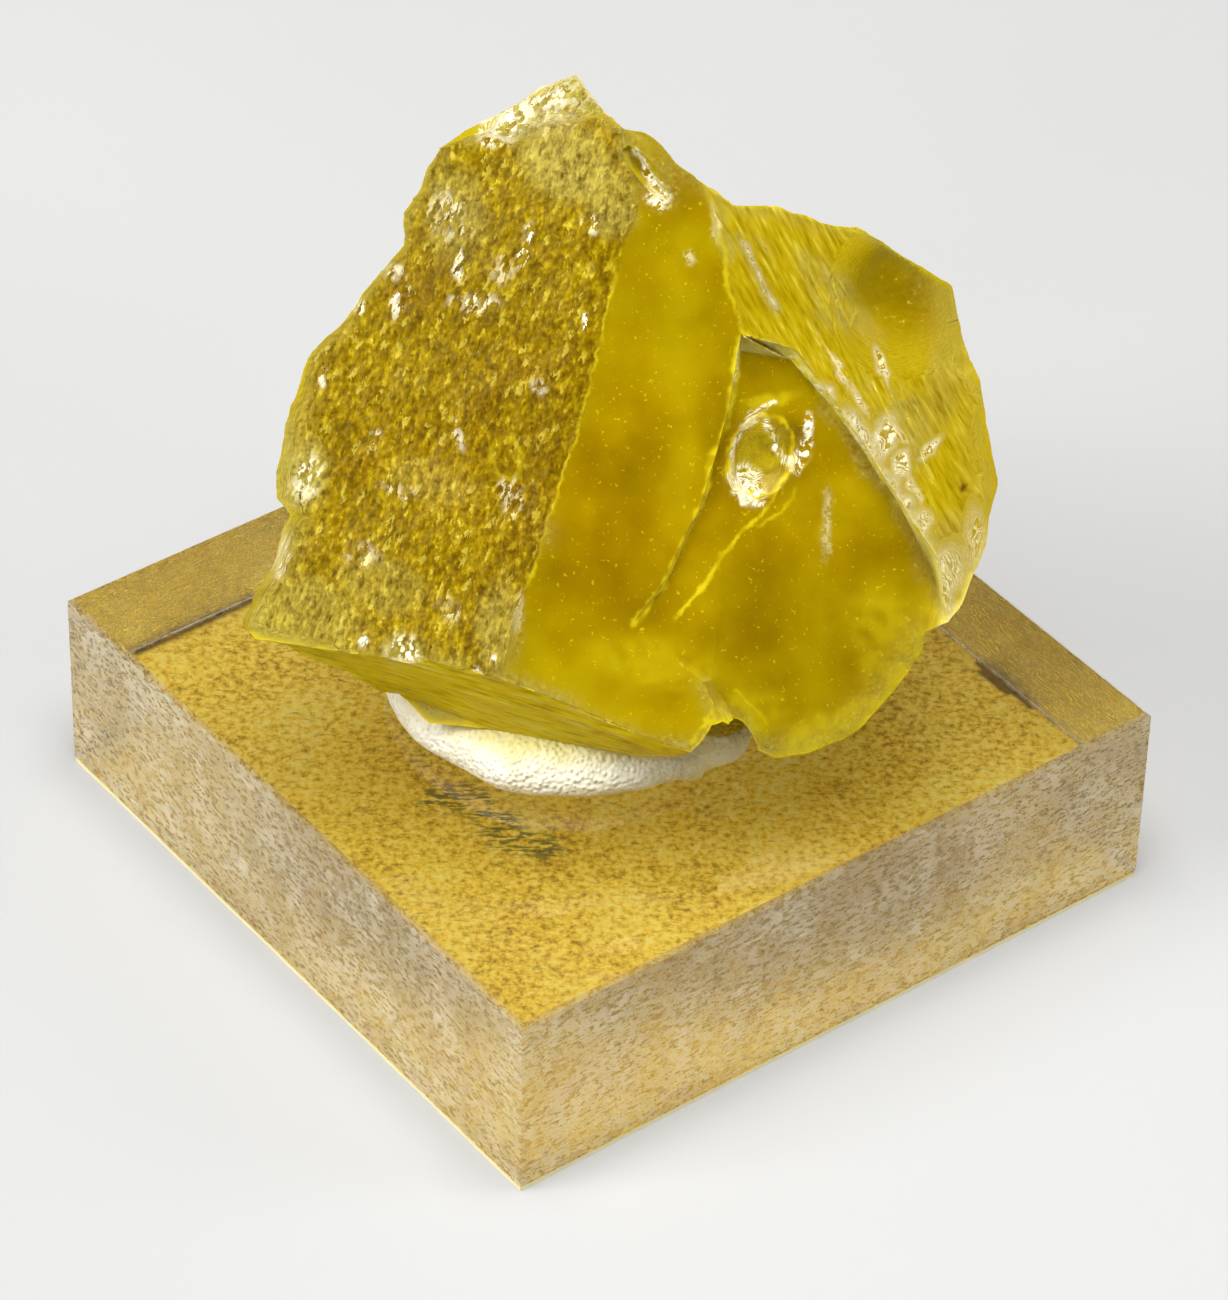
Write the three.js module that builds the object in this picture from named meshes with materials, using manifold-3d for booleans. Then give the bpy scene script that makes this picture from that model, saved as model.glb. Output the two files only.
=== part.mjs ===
// Rough fluorite: one cleaved, partly etched crystal pressed into a wad of mounting putty
// on a sawn block of clear acrylic that still carries its kraft backing paper.
// Units are millimetres, +Z is up, and the origin is the centre of the underside.

import * as THREE from 'three';
import Module from 'manifold-3d';
import { mergeVertices } from 'three/addons/utils/BufferGeometryUtils.js';
import { ImprovedNoise } from 'three/addons/math/ImprovedNoise.js';

const wasm = await Module();
wasm.setup();
const noise = new ImprovedNoise();

// ---------------------------------------------------------------- driving dimensions

const BLOCK_SIDE = 50; // square acrylic base, each way
const STACK_HEIGHT = 14; // acrylic with its paper
const PAPER_THICKNESS = 0.3;
const ARRIS = 0.25; // narrow broken edge of the sawn acrylic

const SPECIMEN_TURN = THREE.MathUtils.degToRad(-38); // the crystal stands across a corner of the block
const SEAT_HEIGHT = 3.6; // flat underside of the crystal above the block

const FACET_EDGE = 2.1; // longest triangle edge on the crystal
// The roughed-out crystal runs back from its front outline to a waist and on to a far end.
const WAIST = { depth: 7, scale: 0.9 };
const FAR_END = { depth: 60, scale: 0.5 };
const EVENING = 4; // corners each way that the outline is averaged over behind the front
const WELD = 1e-4; // corners closer than this are one
const SAME_ANGLE = 1e-3; // radians; angles this near count as equal

// ---------------------------------------------------------------- small geometry helpers

// A face of the crystal: its outward direction and one point of it. Coordinates are
// across, back and height as seen from the front, with height counted from the block's top.
function face(direction, point) {
  const normal = new THREE.Vector3(...direction).normalize();
  return new THREE.Plane().setFromNormalAndCoplanarPoint(normal, new THREE.Vector3(...point));
}

// Corners on a face, each given by how far across and how high it is.
function on(plane, acrossAndHeight) {
  return acrossAndHeight.map(([across, height]) => {
    const back = -(plane.normal.x * across + plane.normal.z * height + plane.constant) / plane.normal.y;
    return new THREE.Vector3(across, back, height);
  });
}

function corners(coordinates) {
  return coordinates.map((xyz) => new THREE.Vector3(...xyz));
}

function backwards(list) {
  return [...list].reverse();
}

function fromTriangles(vertices) {
  const geometry = new THREE.BufferGeometry();
  const numbers = vertices.flatMap((vertex) => vertex.toArray());
  geometry.setAttribute('position', new THREE.Float32BufferAttribute(numbers, 3));
  return geometry;
}

function welded(geometry) {
  const bare = geometry.clone();
  bare.deleteAttribute('normal');
  bare.deleteAttribute('uv');
  return mergeVertices(bare, WELD);
}

function toSolid(geometry) {
  const closed = welded(geometry);
  return new wasm.Manifold(new wasm.Mesh({
    numProp: 3,
    vertProperties: new Float32Array(closed.attributes.position.array),
    triVerts: new Uint32Array(closed.index.array),
  }));
}

function toGeometry(solid) {
  const mesh = solid.getMesh();
  const geometry = new THREE.BufferGeometry();
  geometry.setAttribute('position', new THREE.Float32BufferAttribute(mesh.vertProperties, mesh.numProp));
  geometry.setIndex([...mesh.triVerts]);
  return geometry;
}

// ---------------------------------------------------------------- even triangles

const FLAT_ENOUGH = 0.9999; // cosine between two triangles that lie in one face
const MOST_ROUNDS = 40;

// The two triangles at each edge, found by the edge's two corners.
function edgeTable(triangles) {
  const table = new Map();
  triangles.forEach((triangle, index) => {
    for (let i = 0; i < 3; i += 1) {
      const ends = [triangle[i], triangle[(i + 1) % 3]].sort((a, b) => a - b);
      const key = ends.join();
      if (!table.has(key)) table.set(key, { ends, sides: [] });
      table.get(key).sides.push(index);
    }
  });
  return [...table.values()];
}

function normalOf(places, [a, b, c]) {
  const side = places[b].clone().sub(places[a]);
  return side.cross(places[c].clone().sub(places[a])).normalize();
}

// Halves every edge over the limit, the longest first, and tells whether there was one.
function halveLongEdges(places, triangles, longest) {
  const touched = new Set();
  const long = edgeTable(triangles)
    .map((edge) => ({ ...edge, length: places[edge.ends[0]].distanceTo(places[edge.ends[1]]) }))
    .filter((edge) => edge.length > longest)
    .sort((a, b) => b.length - a.length);
  for (const { ends, sides } of long) {
    if (sides.some((side) => touched.has(side))) continue;
    const middle = places.push(places[ends[0]].clone().add(places[ends[1]]).multiplyScalar(0.5)) - 1;
    for (const side of sides) {
      const old = triangles[side];
      triangles[side] = old.map((corner) => (corner === ends[0] ? middle : corner));
      triangles.push(old.map((corner) => (corner === ends[1] ? middle : corner)));
      touched.add(side).add(triangles.length - 1);
    }
  }
  return long.length > 0;
}

// Turns the diagonal of each flat pair of triangles whose facing angles add up to over half a turn.
function turnDiagonals(places, triangles) {
  const touched = new Set();
  for (const { ends, sides } of edgeTable(triangles)) {
    if (sides.some((side) => touched.has(side))) continue;
    const [first, second] = sides.map((side) => triangles[side]);
    if (normalOf(places, first).dot(normalOf(places, second)) < FLAT_ENOUGH) continue;
    const tips = [first, second].map((triangle) => triangle.find((corner) => !ends.includes(corner)));
    const [tip, otherTip] = tips;
    const facing = tips.map((corner) => {
      const toStart = places[ends[0]].clone().sub(places[corner]);
      return toStart.angleTo(places[ends[1]].clone().sub(places[corner]));
    });
    if (facing[0] + facing[1] < Math.PI + SAME_ANGLE) continue;
    const from = first[(first.indexOf(tip) + 1) % 3];
    const to = first[(first.indexOf(tip) + 2) % 3];
    triangles[sides[0]] = [tip, from, otherTip];
    triangles[sides[1]] = [tip, otherTip, to];
    sides.forEach((side) => touched.add(side));
  }
  return touched.size > 0;
}

function evenTriangles(geometry, longest) {
  const { array } = geometry.attributes.position;
  const count = array.length / 3;
  const places = Array.from({ length: count }, (_, i) => new THREE.Vector3().fromArray(array, 3 * i));
  const corner = geometry.index.array;
  const triangles = Array.from({ length: corner.length / 3 }, (_, i) => [...corner.slice(3 * i, 3 * i + 3)]);
  for (let round = 0; round < MOST_ROUNDS; round += 1) {
    for (let turn = 0; turn < MOST_ROUNDS; turn += 1) {
      if (!turnDiagonals(places, triangles)) break;
    }
    if (!halveLongEdges(places, triangles, longest)) break;
  }
  return fromTriangles(triangles.flat().map((index) => places[index]));
}

// ---------------------------------------------------------------- the crystal's front

const ETCHED = face([-0.22, -0.78, 0.58], [-12, -6.5, 16.7]); // broad dull face on the left
const SMOOTH = face([-0.01, -0.84, 0.54], [0.7, -10.3, 14.2]); // clean cleavage in the middle
const SUNKEN = face([0.24, -0.83, 0.51], [7.1, -9, 13.9]); // cleavage one step lower, to its right
const RIBBED = face([0.3, -0.75, 0.58], [7.8, -1.8, 27.5]); // striated growth face, far right

const peak = on(ETCHED, [[-2.7, 39.7]]);
const browRim = corners([[-5, 8.4, 38.2], [-7.5, 8.1, 36.7], [-9.5, 7.6, 35.4]]); // chipped rim beside it
const leftEdge = on(ETCHED, [
  [-11.1, 34.8], [-11.75, 34.2], [-12.25, 32.6], [-13.15, 31.3], [-13.1, 29.7], [-14.1, 28.5],
  [-15.8, 26.6], [-16.85, 25.2], [-19.05, 23.2], [-19.6, 21.6], [-20.35, 19.6], [-20.45, 18.4],
  [-20.95, 16.8], [-20.6, 15.9], [-19.7, 15.2], [-20.4, 14], [-20.45, 13.2], [-21.7, 11.2],
  [-22.6, 9.3], [-22.4, 8.7],
]);
const leftTip = leftEdge.slice(-1);
const browFoot = on(ETCHED, [
  [-8.15, 36], [-6.9, 35.8], [-5.6, 36], [-4.95, 36.35], [-4.7, 37], [-3.9, 37.3], [-2.7, 37.5],
]);
const browEnd = on(ETCHED, [[-0.95, 38.1]]);
const peakRight = on(ETCHED, [[-1.7, 38.8]]);
const saddle = on(SMOOTH, [[0.2, 37.9]]);

const etchedFoot = on(ETCHED, [[-18.5, 8.7], [-15.1, 9.1], [-11.1, 9.4], [-7.8, 9.4], [-6.4, 9.3]]);
const footCorner = etchedFoot.slice(-1);
const smoothFoot = on(SMOOTH, [[-2, 7.8], [2.3, 6.4], [5.5, 5.6]]);
const footEnd = smoothFoot.slice(-1);
// Crease between the etched and the smooth face, upwards.
const middleCrease = on(ETCHED, [
  [-5, 14], [-4.1, 16.2], [-2.75, 20.3], [-1.9, 22.5], [-0.8, 26.9], [0.3, 31.5], [1.4, 34.2],
]);
// The undercut strip's lower edge, from the left tip to the right.
const undercut = corners([
  [-20.2, -9.4, 7.9], [-18.1, -9.6, 6.8], [-16.1, -9.8, 6.4], [-14.2, -9.8, 4.9], [-12.9, -9.9, 4.6],
  [-10.9, -11.4, SEAT_HEIGHT], [-7, -11.8, SEAT_HEIGHT], [-2.6, -13, SEAT_HEIGHT],
  [2.4, -14.1, SEAT_HEIGHT], [4, -14, SEAT_HEIGHT],
]);

const smoothTop = on(SMOOTH, [[1.65, 37.7], [2.55, 37.2], [3.5, 36.2], [5.1, 35.3]]);
const ribbedCorner = smoothTop.slice(-1);
const rightCrease = on(SMOOTH, [[6.25, 32.4], [7.2, 29.8], [7.85, 27.5]]);
const ledgeStart = rightCrease.slice(-1);
// Brink of the smooth face over the sunken one, and the foot of that little step, downwards.
const stepBrink = on(SMOOTH, [
  [7.35, 26.1], [7.25, 23.8], [6.65, 21.7], [5.95, 20.8], [5.75, 18.95], [4.8, 17], [3.3, 14.2],
]);
const stepFoot = on(SUNKEN, [
  [7.8, 25.9], [7.65, 23.6], [7.05, 21.4], [6.4, 20.3], [6.15, 18.6], [5.2, 16.5], [3.6, 13.9],
]);
const stepEnd = on(SMOOTH, [[1.65, 12.25]]);
const notchBrink = on(SMOOTH, [[6.25, 6.35], [6.75, 7.05]]);
const heelBrink = on(SMOOTH, [[6, 9.4], [7.4, 7.3]]);
const heelFoot = corners([[6.7, -13, 9.2], [7.8, -14.1, 6.45]]);
const lowerRight = on(SUNKEN, [
  [8.8, 5.3], [9.7, 4.4], [10.8, 3.8], [14.05, 3.9], [16, 4.5], [17.5, 5.8], [19.1, 7.4], [19.9, 8.4],
  [19.95, 9.3],
]);
const lowerEnd = lowerRight.slice(-1);
// Foot of the ribbed block on the sunken face, and its brink, from the right edge inwards.
const ledgeFoot = on(SUNKEN, [
  [20.8, 11.4], [20.2, 12.7], [19.2, 14.3], [17.9, 16.7], [17.1, 17.6], [16, 18], [15.3, 19.6],
  [14.45, 21.3], [13.6, 21.5], [12.8, 23.2], [11, 25], [9.1, 26.1],
]);
const ledgeBrink = on(RIBBED, [
  [21.1, 12.9], [20.5, 14.3], [19.6, 15.9], [18.4, 18], [17.6, 19.1], [16.6, 19.7], [15.8, 21.1],
  [14.9, 22.6], [14, 23.1], [13.1, 24.5], [11.3, 26.2], [9.5, 27.2],
]);
const rightEdge = on(RIBBED, [
  [21.3, 11.1], [22.2, 11.8], [22.6, 12.9], [23.5, 14.1], [23.8, 15.8], [24.35, 17.3], [24.3, 17.9],
  [23.7, 18.9], [23.25, 21], [22.9, 22.7], [22.4, 23.8], [21.6, 26], [21.3, 27.7], [19.5, 29],
  [16.6, 30.5], [14.8, 31.5], [12.6, 32.1], [11.75, 32.6], [10.7, 33], [9.9, 33.4], [7.1, 33.8],
  [6.05, 34.55],
]);
const rightEdgeStart = rightEdge.slice(0, 1);

// Each front face is a loop of corners.
const FRONT_FACES = [
  [...leftEdge, ...etchedFoot, ...middleCrease, ...saddle, ...browEnd, ...backwards(browFoot)],
  [...peak, ...browRim, leftEdge[0], ...browFoot, ...browEnd, ...peakRight],
  [...leftTip, ...undercut, ...backwards(smoothFoot), ...backwards(etchedFoot)],
  [...saddle, ...backwards(middleCrease), ...footCorner, ...smoothFoot, ...notchBrink,
    ...backwards(heelBrink), ...stepEnd, ...backwards(stepBrink), ...backwards(rightCrease),
    ...backwards(smoothTop)],
  [...ledgeStart, ...stepBrink, ...stepEnd, ...backwards(stepFoot)],
  [...stepEnd, ...heelBrink, ...backwards(heelFoot)],
  [...ledgeStart, ...stepFoot, ...stepEnd, ...heelFoot, ...lowerRight, ...ledgeFoot],
  [...lowerEnd, ...ledgeFoot, ...ledgeStart, ...backwards(ledgeBrink), ...rightEdgeStart],
  [...backwards(rightCrease), ...ribbedCorner, ...backwards(rightEdge), ...ledgeBrink],
];
const OUTLINE = [
  ...peak, ...browRim, ...leftEdge, ...undercut, ...footEnd, ...notchBrink, heelBrink[1], heelFoot[1],
  ...lowerRight, ...rightEdge, ...backwards(smoothTop), ...saddle, ...browEnd, ...peakRight,
];

// ---------------------------------------------------------------- roughing out and cleaving

// The front faces all lean back to about the same direction, and the rough is drawn along it.
const ACROSS = new THREE.Vector3(1, 0, 0);
const DRAW = new THREE.Vector3(0, 0.777, -0.629).normalize();
const DRAW_UP = new THREE.Vector3(0, 0.629, 0.777).normalize();
const DRAW_CENTRE = new THREE.Vector3(1, 0, 19);

// The outline drawn back by a depth and shrunk, and evened out so that its flutes die away.
function drawnOutline({ depth, scale }) {
  const count = OUTLINE.length;
  return OUTLINE.map((_, i) => {
    const middle = new THREE.Vector3();
    for (let step = -EVENING; step <= EVENING; step += 1) {
      middle.addScaledVector(OUTLINE[(i + step + count) % count], 1 / (2 * EVENING + 1));
    }
    const offset = middle.sub(DRAW_CENTRE);
    return DRAW_CENTRE.clone()
      .addScaledVector(ACROSS, offset.x * scale)
      .addScaledVector(DRAW_UP, offset.dot(DRAW_UP) * scale)
      .addScaledVector(DRAW, offset.dot(DRAW) * scale + depth);
  });
}

// Triangles of one front face, all turned to the front.
function frontTriangles(loop) {
  const flat = loop.map((corner) => new THREE.Vector2(corner.x, corner.dot(DRAW_UP)));
  const clockwise = THREE.ShapeUtils.isClockWise(flat);
  const order = clockwise ? backwards(loop) : loop;
  const flatOrder = clockwise ? backwards(flat) : flat;
  return THREE.ShapeUtils.triangulateShape(flatOrder, []).map((triangle) => triangle.map((i) => order[i]));
}

function roughCrystal() {
  const vertices = FRONT_FACES.flatMap(frontTriangles).flat();
  const rings = [OUTLINE, drawnOutline(WAIST), drawnOutline(FAR_END)];
  const farMiddle = DRAW_CENTRE.clone().addScaledVector(DRAW, FAR_END.depth);
  OUTLINE.forEach((_, i) => {
    const after = (i + 1) % OUTLINE.length;
    for (let level = 1; level < rings.length; level += 1) {
      const [near, far] = [rings[level - 1], rings[level]];
      vertices.push(near[i], far[i], near[after]);
      vertices.push(near[after], far[i], far[after]);
    }
    vertices.push(farMiddle, rings.at(-1)[after], rings.at(-1)[i]);
  });
  return toSolid(fromTriangles(vertices));
}

// Cleaves away everything outside a face.
function cleave(solid, plane) {
  const size = 4 * FAR_END.depth;
  const waste = new THREE.BoxGeometry(size, size, size).translate(0, 0, size / 2);
  const up = new THREE.Vector3(0, 0, 1);
  waste.applyQuaternion(new THREE.Quaternion().setFromUnitVectors(up, plane.normal));
  const foot = plane.coplanarPoint(new THREE.Vector3());
  waste.translate(...foot.toArray());
  return solid.subtract(toSolid(waste));
}

const SEAT = face([0, 0, -1], [0, 0, SEAT_HEIGHT]);
const CLEAVAGES = [
  face([-0.08, 0.94, 0.33], [0, 15, 24]), // main back
  face([-0.45, 0.8, 0.4], [-8, 9, 36.5]), // behind the peak's left shoulder
  face([0.28, 0.9, 0.34], [16.6, 5.8, 30.6]), // behind the right shoulder
  face([-0.74, 0.62, 0.25], [-16, 8, 17]), // left back
  face([-0.85, 0.45, -0.28], [-20, 0, 8]), // left heel
  face([0.72, 0.66, 0.2], [20.5, 9, 17]), // right back
  face([0.8, 0.5, -0.33], [21, 1, 8]), // right heel
  face([0.05, 0.64, -0.77], [0, 14.5, 10]), // under the back
  face([-0.45, 0.1, -0.89], [-16, -9.5, 5.8]), // under the left tip
  face([0.62, 0.05, -0.78], [17.5, -11, 5.8]), // under the lower right
  SEAT,
];

// ---------------------------------------------------------------- chips, pits and gouges

const BALL_FACET = 1.5; // about the edge of a cutting ball's facets
const LENS_DETAIL = 2;

// A shallow round scoop in a face, of the given radius at its rim.
function scoop(plane, across, height, rimRadius, depth) {
  const ballRadius = (rimRadius ** 2 + depth ** 2) / (2 * depth);
  const [middle] = on(plane, [[across, height]]);
  middle.addScaledVector(plane.normal, ballRadius - depth);
  const ball = new THREE.IcosahedronGeometry(ballRadius, Math.ceil(ballRadius / BALL_FACET));
  ball.translate(...middle.toArray());
  return toSolid(ball);
}

// A long lens-shaped gouge in a face from one point to another.
function gouge(plane, from, to, width, depth) {
  const [start, end] = on(plane, [from, to]);
  const along = end.clone().sub(start);
  const sideways = new THREE.Vector3().crossVectors(plane.normal, along).normalize();
  const lens = new THREE.IcosahedronGeometry(1, LENS_DETAIL);
  lens.scale(along.length() / 2, width / 2, depth);
  lens.applyMatrix4(new THREE.Matrix4().makeBasis(along.normalize(), sideways, plane.normal));
  const middle = start.clone().add(end).multiplyScalar(0.5);
  lens.translate(...middle.toArray());
  return toSolid(lens);
}

const PEAK_NOTCH = [[0.4, 37], [3.1, 34.3]];
const NOTCH_WIDTH = 1.3;
const NOTCH_DEPTH = 1;
const RIBS = [
  [[9.2, 31.3], [11, 28.4]], [[11.7, 31], [14.4, 26]], [[13.4, 29.5], [17.2, 22.6]],
  [[12, 28], [15.4, 23.2]], [[14.9, 26.6], [18.8, 19.6]], [[18.3, 22.6], [20.6, 17.6]],
];
const RIB_WIDTH = 0.8;
const RIB_DEPTH = 0.22;

function marks() {
  return [
    scoop(SUNKEN, 9.2, 20, 2.1, 0.75), // round bruise, left lobe
    scoop(SUNKEN, 11.3, 20.5, 1.6, 0.6), // and its right lobe
    scoop(ETCHED, -18.9, 17.3, 1.1, 0.4), // chip by the left edge
    scoop(ETCHED, -12.4, 9.3, 1.2, 0.45), // flake off the foot
    scoop(RIBBED, 19.3, 26.4, 5.4, 1.1), // shell-shaped hollow, upper right
    gouge(SMOOTH, ...PEAK_NOTCH, NOTCH_WIDTH, NOTCH_DEPTH),
    ...RIBS.map(([from, to]) => gouge(RIBBED, from, to, RIB_WIDTH, RIB_DEPTH)),
  ];
}

// The hollow at the crystal's lower edge, and the lobe of putty that is pushed up into it.
const HOLLOW = { centre: [7.4, -12.2, 3.6], radii: [2.7, 4, 3.3] };
const LOBE = { centre: [7.2, -10.5, 2.5], radii: [2.3, 2, 2.1] };
const EGG_DETAIL = 4;

function egg({ centre, radii }) {
  const ball = new THREE.IcosahedronGeometry(1, EGG_DETAIL);
  ball.scale(...radii);
  ball.translate(...centre);
  return toSolid(ball);
}

// ---------------------------------------------------------------- growth relief

// How rough each face is: the height of its lumps, in millimetres.
const LUMPS = [
  [ETCHED, 0.28],
  [SMOOTH, 0.05],
  [SUNKEN, 0.07],
  [RIBBED, 0.16],
  [SEAT, 0],
];
const PLAIN_LUMPS = 0.3;
const ON_FACE = 0.01; // a vertex this near a face's plane belongs to it
const LUMP_SIZE = 4.5;
const GRAIN_SIZE = 1.9;
const GRAIN_SHARE = 0.6; // height of the grain against the lumps
const GRAIN_OFFSET = 31; // keeps the grain's pattern off the lumps' own

function lumpHeight(vertex) {
  const found = LUMPS.find(([plane]) => Math.abs(plane.distanceToPoint(vertex)) < ON_FACE);
  return found ? found[1] : PLAIN_LUMPS;
}

function reliefAt({ x, y, z }) {
  const broad = noise.noise(x / LUMP_SIZE, y / LUMP_SIZE, z / LUMP_SIZE);
  const fine = noise.noise(x / GRAIN_SIZE + GRAIN_OFFSET, y / GRAIN_SIZE, z / GRAIN_SIZE);
  return broad + GRAIN_SHARE * fine;
}

function roughened(geometry) {
  const fine = welded(evenTriangles(geometry, FACET_EDGE));
  fine.computeVertexNormals();
  const place = fine.attributes.position;
  const direction = fine.attributes.normal;
  const vertex = new THREE.Vector3();
  const normal = new THREE.Vector3();
  for (let i = 0; i < place.count; i += 1) {
    vertex.fromBufferAttribute(place, i);
    normal.fromBufferAttribute(direction, i);
    vertex.addScaledVector(normal, lumpHeight(vertex) * reliefAt(vertex));
    place.setXYZ(i, vertex.x, vertex.y, Math.max(vertex.z, SEAT_HEIGHT));
  }
  return fine;
}

function crystalGeometry() {
  const cleaved = CLEAVAGES.reduce(cleave, roughCrystal());
  const marked = marks().reduce((solid, cut) => solid.subtract(cut), cleaved);
  return roughened(toGeometry(marked.subtract(egg(HOLLOW))));
}

// ---------------------------------------------------------------- putty, block and paper

const PUTTY_CENTRE = [-1.6, -3.4];
const PUTTY_RADII = [12.5, 10.9]; // where it meets the block
const PUTTY_POINTS = 64; // round the wad
const PUTTY_FOLD = THREE.MathUtils.degToRad(-59); // a pinch in its rim, near the front
const FOLD_DEPTH = 0.55;
const FOLD_WIDTH = 0.07; // radians
// Hand-rolled lumps of the rim: how many go round, how high they are and where they start.
const ROLLED_LUMPS = [
  { count: 3, height: 0.28, start: 0.6 },
  { count: 7, height: 0.16, start: 2 },
  { count: 12, height: 0.1, start: 0 },
];
// Height of each ring of the wad's side, and how far it stands in from the foot.
const PUTTY_SIDE = [[0, 0], [0.5, -0.3], [1.5, -0.35], [2.5, 0.1], [3.2, 0.7], [SEAT_HEIGHT, 1.5]];

// How far the rim wanders in and out at an angle.
function puttyWander(angle) {
  const fold = FOLD_DEPTH * Math.exp(-(((angle - PUTTY_FOLD) / FOLD_WIDTH) ** 2));
  return ROLLED_LUMPS.reduce((total, { count, height, start }) => (
    total + height * Math.sin(count * angle + start)
  ), -fold);
}

function puttyGeometry() {
  const rings = PUTTY_SIDE.map(([height, inset]) => Array.from({ length: PUTTY_POINTS }, (_, i) => {
    const angle = ((i / PUTTY_POINTS) * 2 - 1) * Math.PI;
    const reach = puttyWander(angle) - inset;
    return new THREE.Vector3(
      PUTTY_CENTRE[0] + (PUTTY_RADII[0] + reach) * Math.cos(angle),
      PUTTY_CENTRE[1] + (PUTTY_RADII[1] + reach) * Math.sin(angle),
      height,
    );
  }));
  const bottom = new THREE.Vector3(...PUTTY_CENTRE, 0);
  const top = new THREE.Vector3(...PUTTY_CENTRE, SEAT_HEIGHT);
  const vertices = [];
  for (let i = 0; i < PUTTY_POINTS; i += 1) {
    const next = (i + 1) % PUTTY_POINTS;
    vertices.push(bottom, rings[0][next], rings[0][i]);
    vertices.push(top, rings.at(-1)[i], rings.at(-1)[next]);
    for (let level = 1; level < rings.length; level += 1) {
      const [low, high] = [rings[level - 1], rings[level]];
      vertices.push(low[i], low[next], high[next]);
      vertices.push(low[i], high[next], high[i]);
    }
  }
  return toGeometry(toSolid(fromTriangles(vertices)).add(egg(LOBE)));
}

function blockGeometry() {
  const half = BLOCK_SIDE / 2 - ARRIS;
  const square = new THREE.Shape()
    .moveTo(-half, -half)
    .lineTo(half, -half)
    .lineTo(half, half)
    .lineTo(-half, half)
    .closePath();
  const block = new THREE.ExtrudeGeometry(square, {
    depth: STACK_HEIGHT - PAPER_THICKNESS - 2 * ARRIS,
    bevelThickness: ARRIS,
    bevelSize: ARRIS,
    bevelSegments: 1,
  });
  return block.translate(0, 0, PAPER_THICKNESS + ARRIS);
}

function paperGeometry() {
  const sheet = new THREE.BoxGeometry(BLOCK_SIDE, BLOCK_SIDE, PAPER_THICKNESS);
  return sheet.translate(0, 0, PAPER_THICKNESS / 2);
}

// ---------------------------------------------------------------- the assembly

function piece(name, geometry, color, roughness) {
  const mesh = new THREE.Mesh(geometry, new THREE.MeshStandardMaterial({ color, roughness, metalness: 0 }));
  mesh.name = name;
  return mesh;
}

const specimen = new THREE.Group();
specimen.rotation.z = SPECIMEN_TURN;
specimen.position.z = STACK_HEIGHT;
specimen.add(
  piece('fluorite', crystalGeometry(), 0xb59a10, 0.35),
  piece('putty', puttyGeometry(), 0xe9e7dc, 0.8),
);

const model = new THREE.Group();
model.add(
  specimen,
  piece('acrylic_base', blockGeometry(), 0xd9c48a, 0.1),
  piece('paper_backing', paperGeometry(), 0xc59a4a, 0.9),
);

export default model;
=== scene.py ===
"""Rough fluorite on its acrylic block: the finished surfaces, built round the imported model.

Meshes are worked on in millimetres in the specimen's own axes (across, back, height above the block's top)
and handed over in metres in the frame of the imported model.
"""

import logging
import math
from abc import ABC, abstractmethod
from dataclasses import dataclass, field
from enum import Enum
from typing import Callable, ClassVar

import bpy
import numpy as np
from mathutils import Matrix, Vector

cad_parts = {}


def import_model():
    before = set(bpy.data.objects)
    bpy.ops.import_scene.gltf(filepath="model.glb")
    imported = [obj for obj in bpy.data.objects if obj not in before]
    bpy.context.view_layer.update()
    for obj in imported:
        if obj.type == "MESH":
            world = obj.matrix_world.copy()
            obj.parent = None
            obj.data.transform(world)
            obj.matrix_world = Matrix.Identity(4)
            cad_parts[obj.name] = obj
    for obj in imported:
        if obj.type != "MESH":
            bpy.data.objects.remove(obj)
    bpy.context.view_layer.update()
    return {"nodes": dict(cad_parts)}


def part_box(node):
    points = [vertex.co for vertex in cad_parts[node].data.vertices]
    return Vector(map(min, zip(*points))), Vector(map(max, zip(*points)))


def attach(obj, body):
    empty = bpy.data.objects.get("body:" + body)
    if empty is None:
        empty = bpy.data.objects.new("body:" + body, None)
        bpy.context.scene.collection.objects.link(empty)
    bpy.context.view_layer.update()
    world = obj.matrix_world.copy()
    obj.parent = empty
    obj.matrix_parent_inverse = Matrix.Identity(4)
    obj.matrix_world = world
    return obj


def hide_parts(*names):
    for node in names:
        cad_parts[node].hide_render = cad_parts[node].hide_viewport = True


LOG = logging.getLogger("fluorite")

MM = 0.001  # metres in a millimetre
BLOCK_TOP = 14.0  # mm above the floor
SPECIMEN_TURN = math.radians(-38.0)  # the specimen's axes are turned this far about the vertical
SEAT_HEIGHT = 3.6  # flat underside of the crystal above the block, mm
CONTACT = 0.02  # mm that touching pieces reach into each other, so that no air shows between them

Array = np.ndarray
Path = list[tuple[float, float]]
Line = tuple[tuple[float, float], ...]
Tree = bpy.types.NodeTree
Socket = bpy.types.NodeSocket
Stops = tuple[tuple[float, str | float], ...]  # a ramp's places, and the colour or number at each


# ---------------------------------------------------------------- numbers to shapes


def smoothstep(low: float, high: float, value: Array) -> Array:
    """Returns 0 below low, 1 above high and a smooth rise between; low may be the larger."""
    share = np.clip((value - low) / (high - low), 0.0, 1.0)
    return share * share * (3.0 - 2.0 * share)


def unit(vector: tuple[float, float, float]) -> Array:
    """Returns the vector at length 1."""
    long = np.asarray(vector, float)
    return long / np.linalg.norm(long)


def to_world(points: Array) -> Array:
    """Returns specimen points (mm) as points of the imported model's frame (metres)."""
    cosine, sine = math.cos(SPECIMEN_TURN), math.sin(SPECIMEN_TURN)
    across, back, height = points.T
    return np.stack([across * cosine - back * sine, across * sine + back * cosine, height + BLOCK_TOP], 1) * MM


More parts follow.
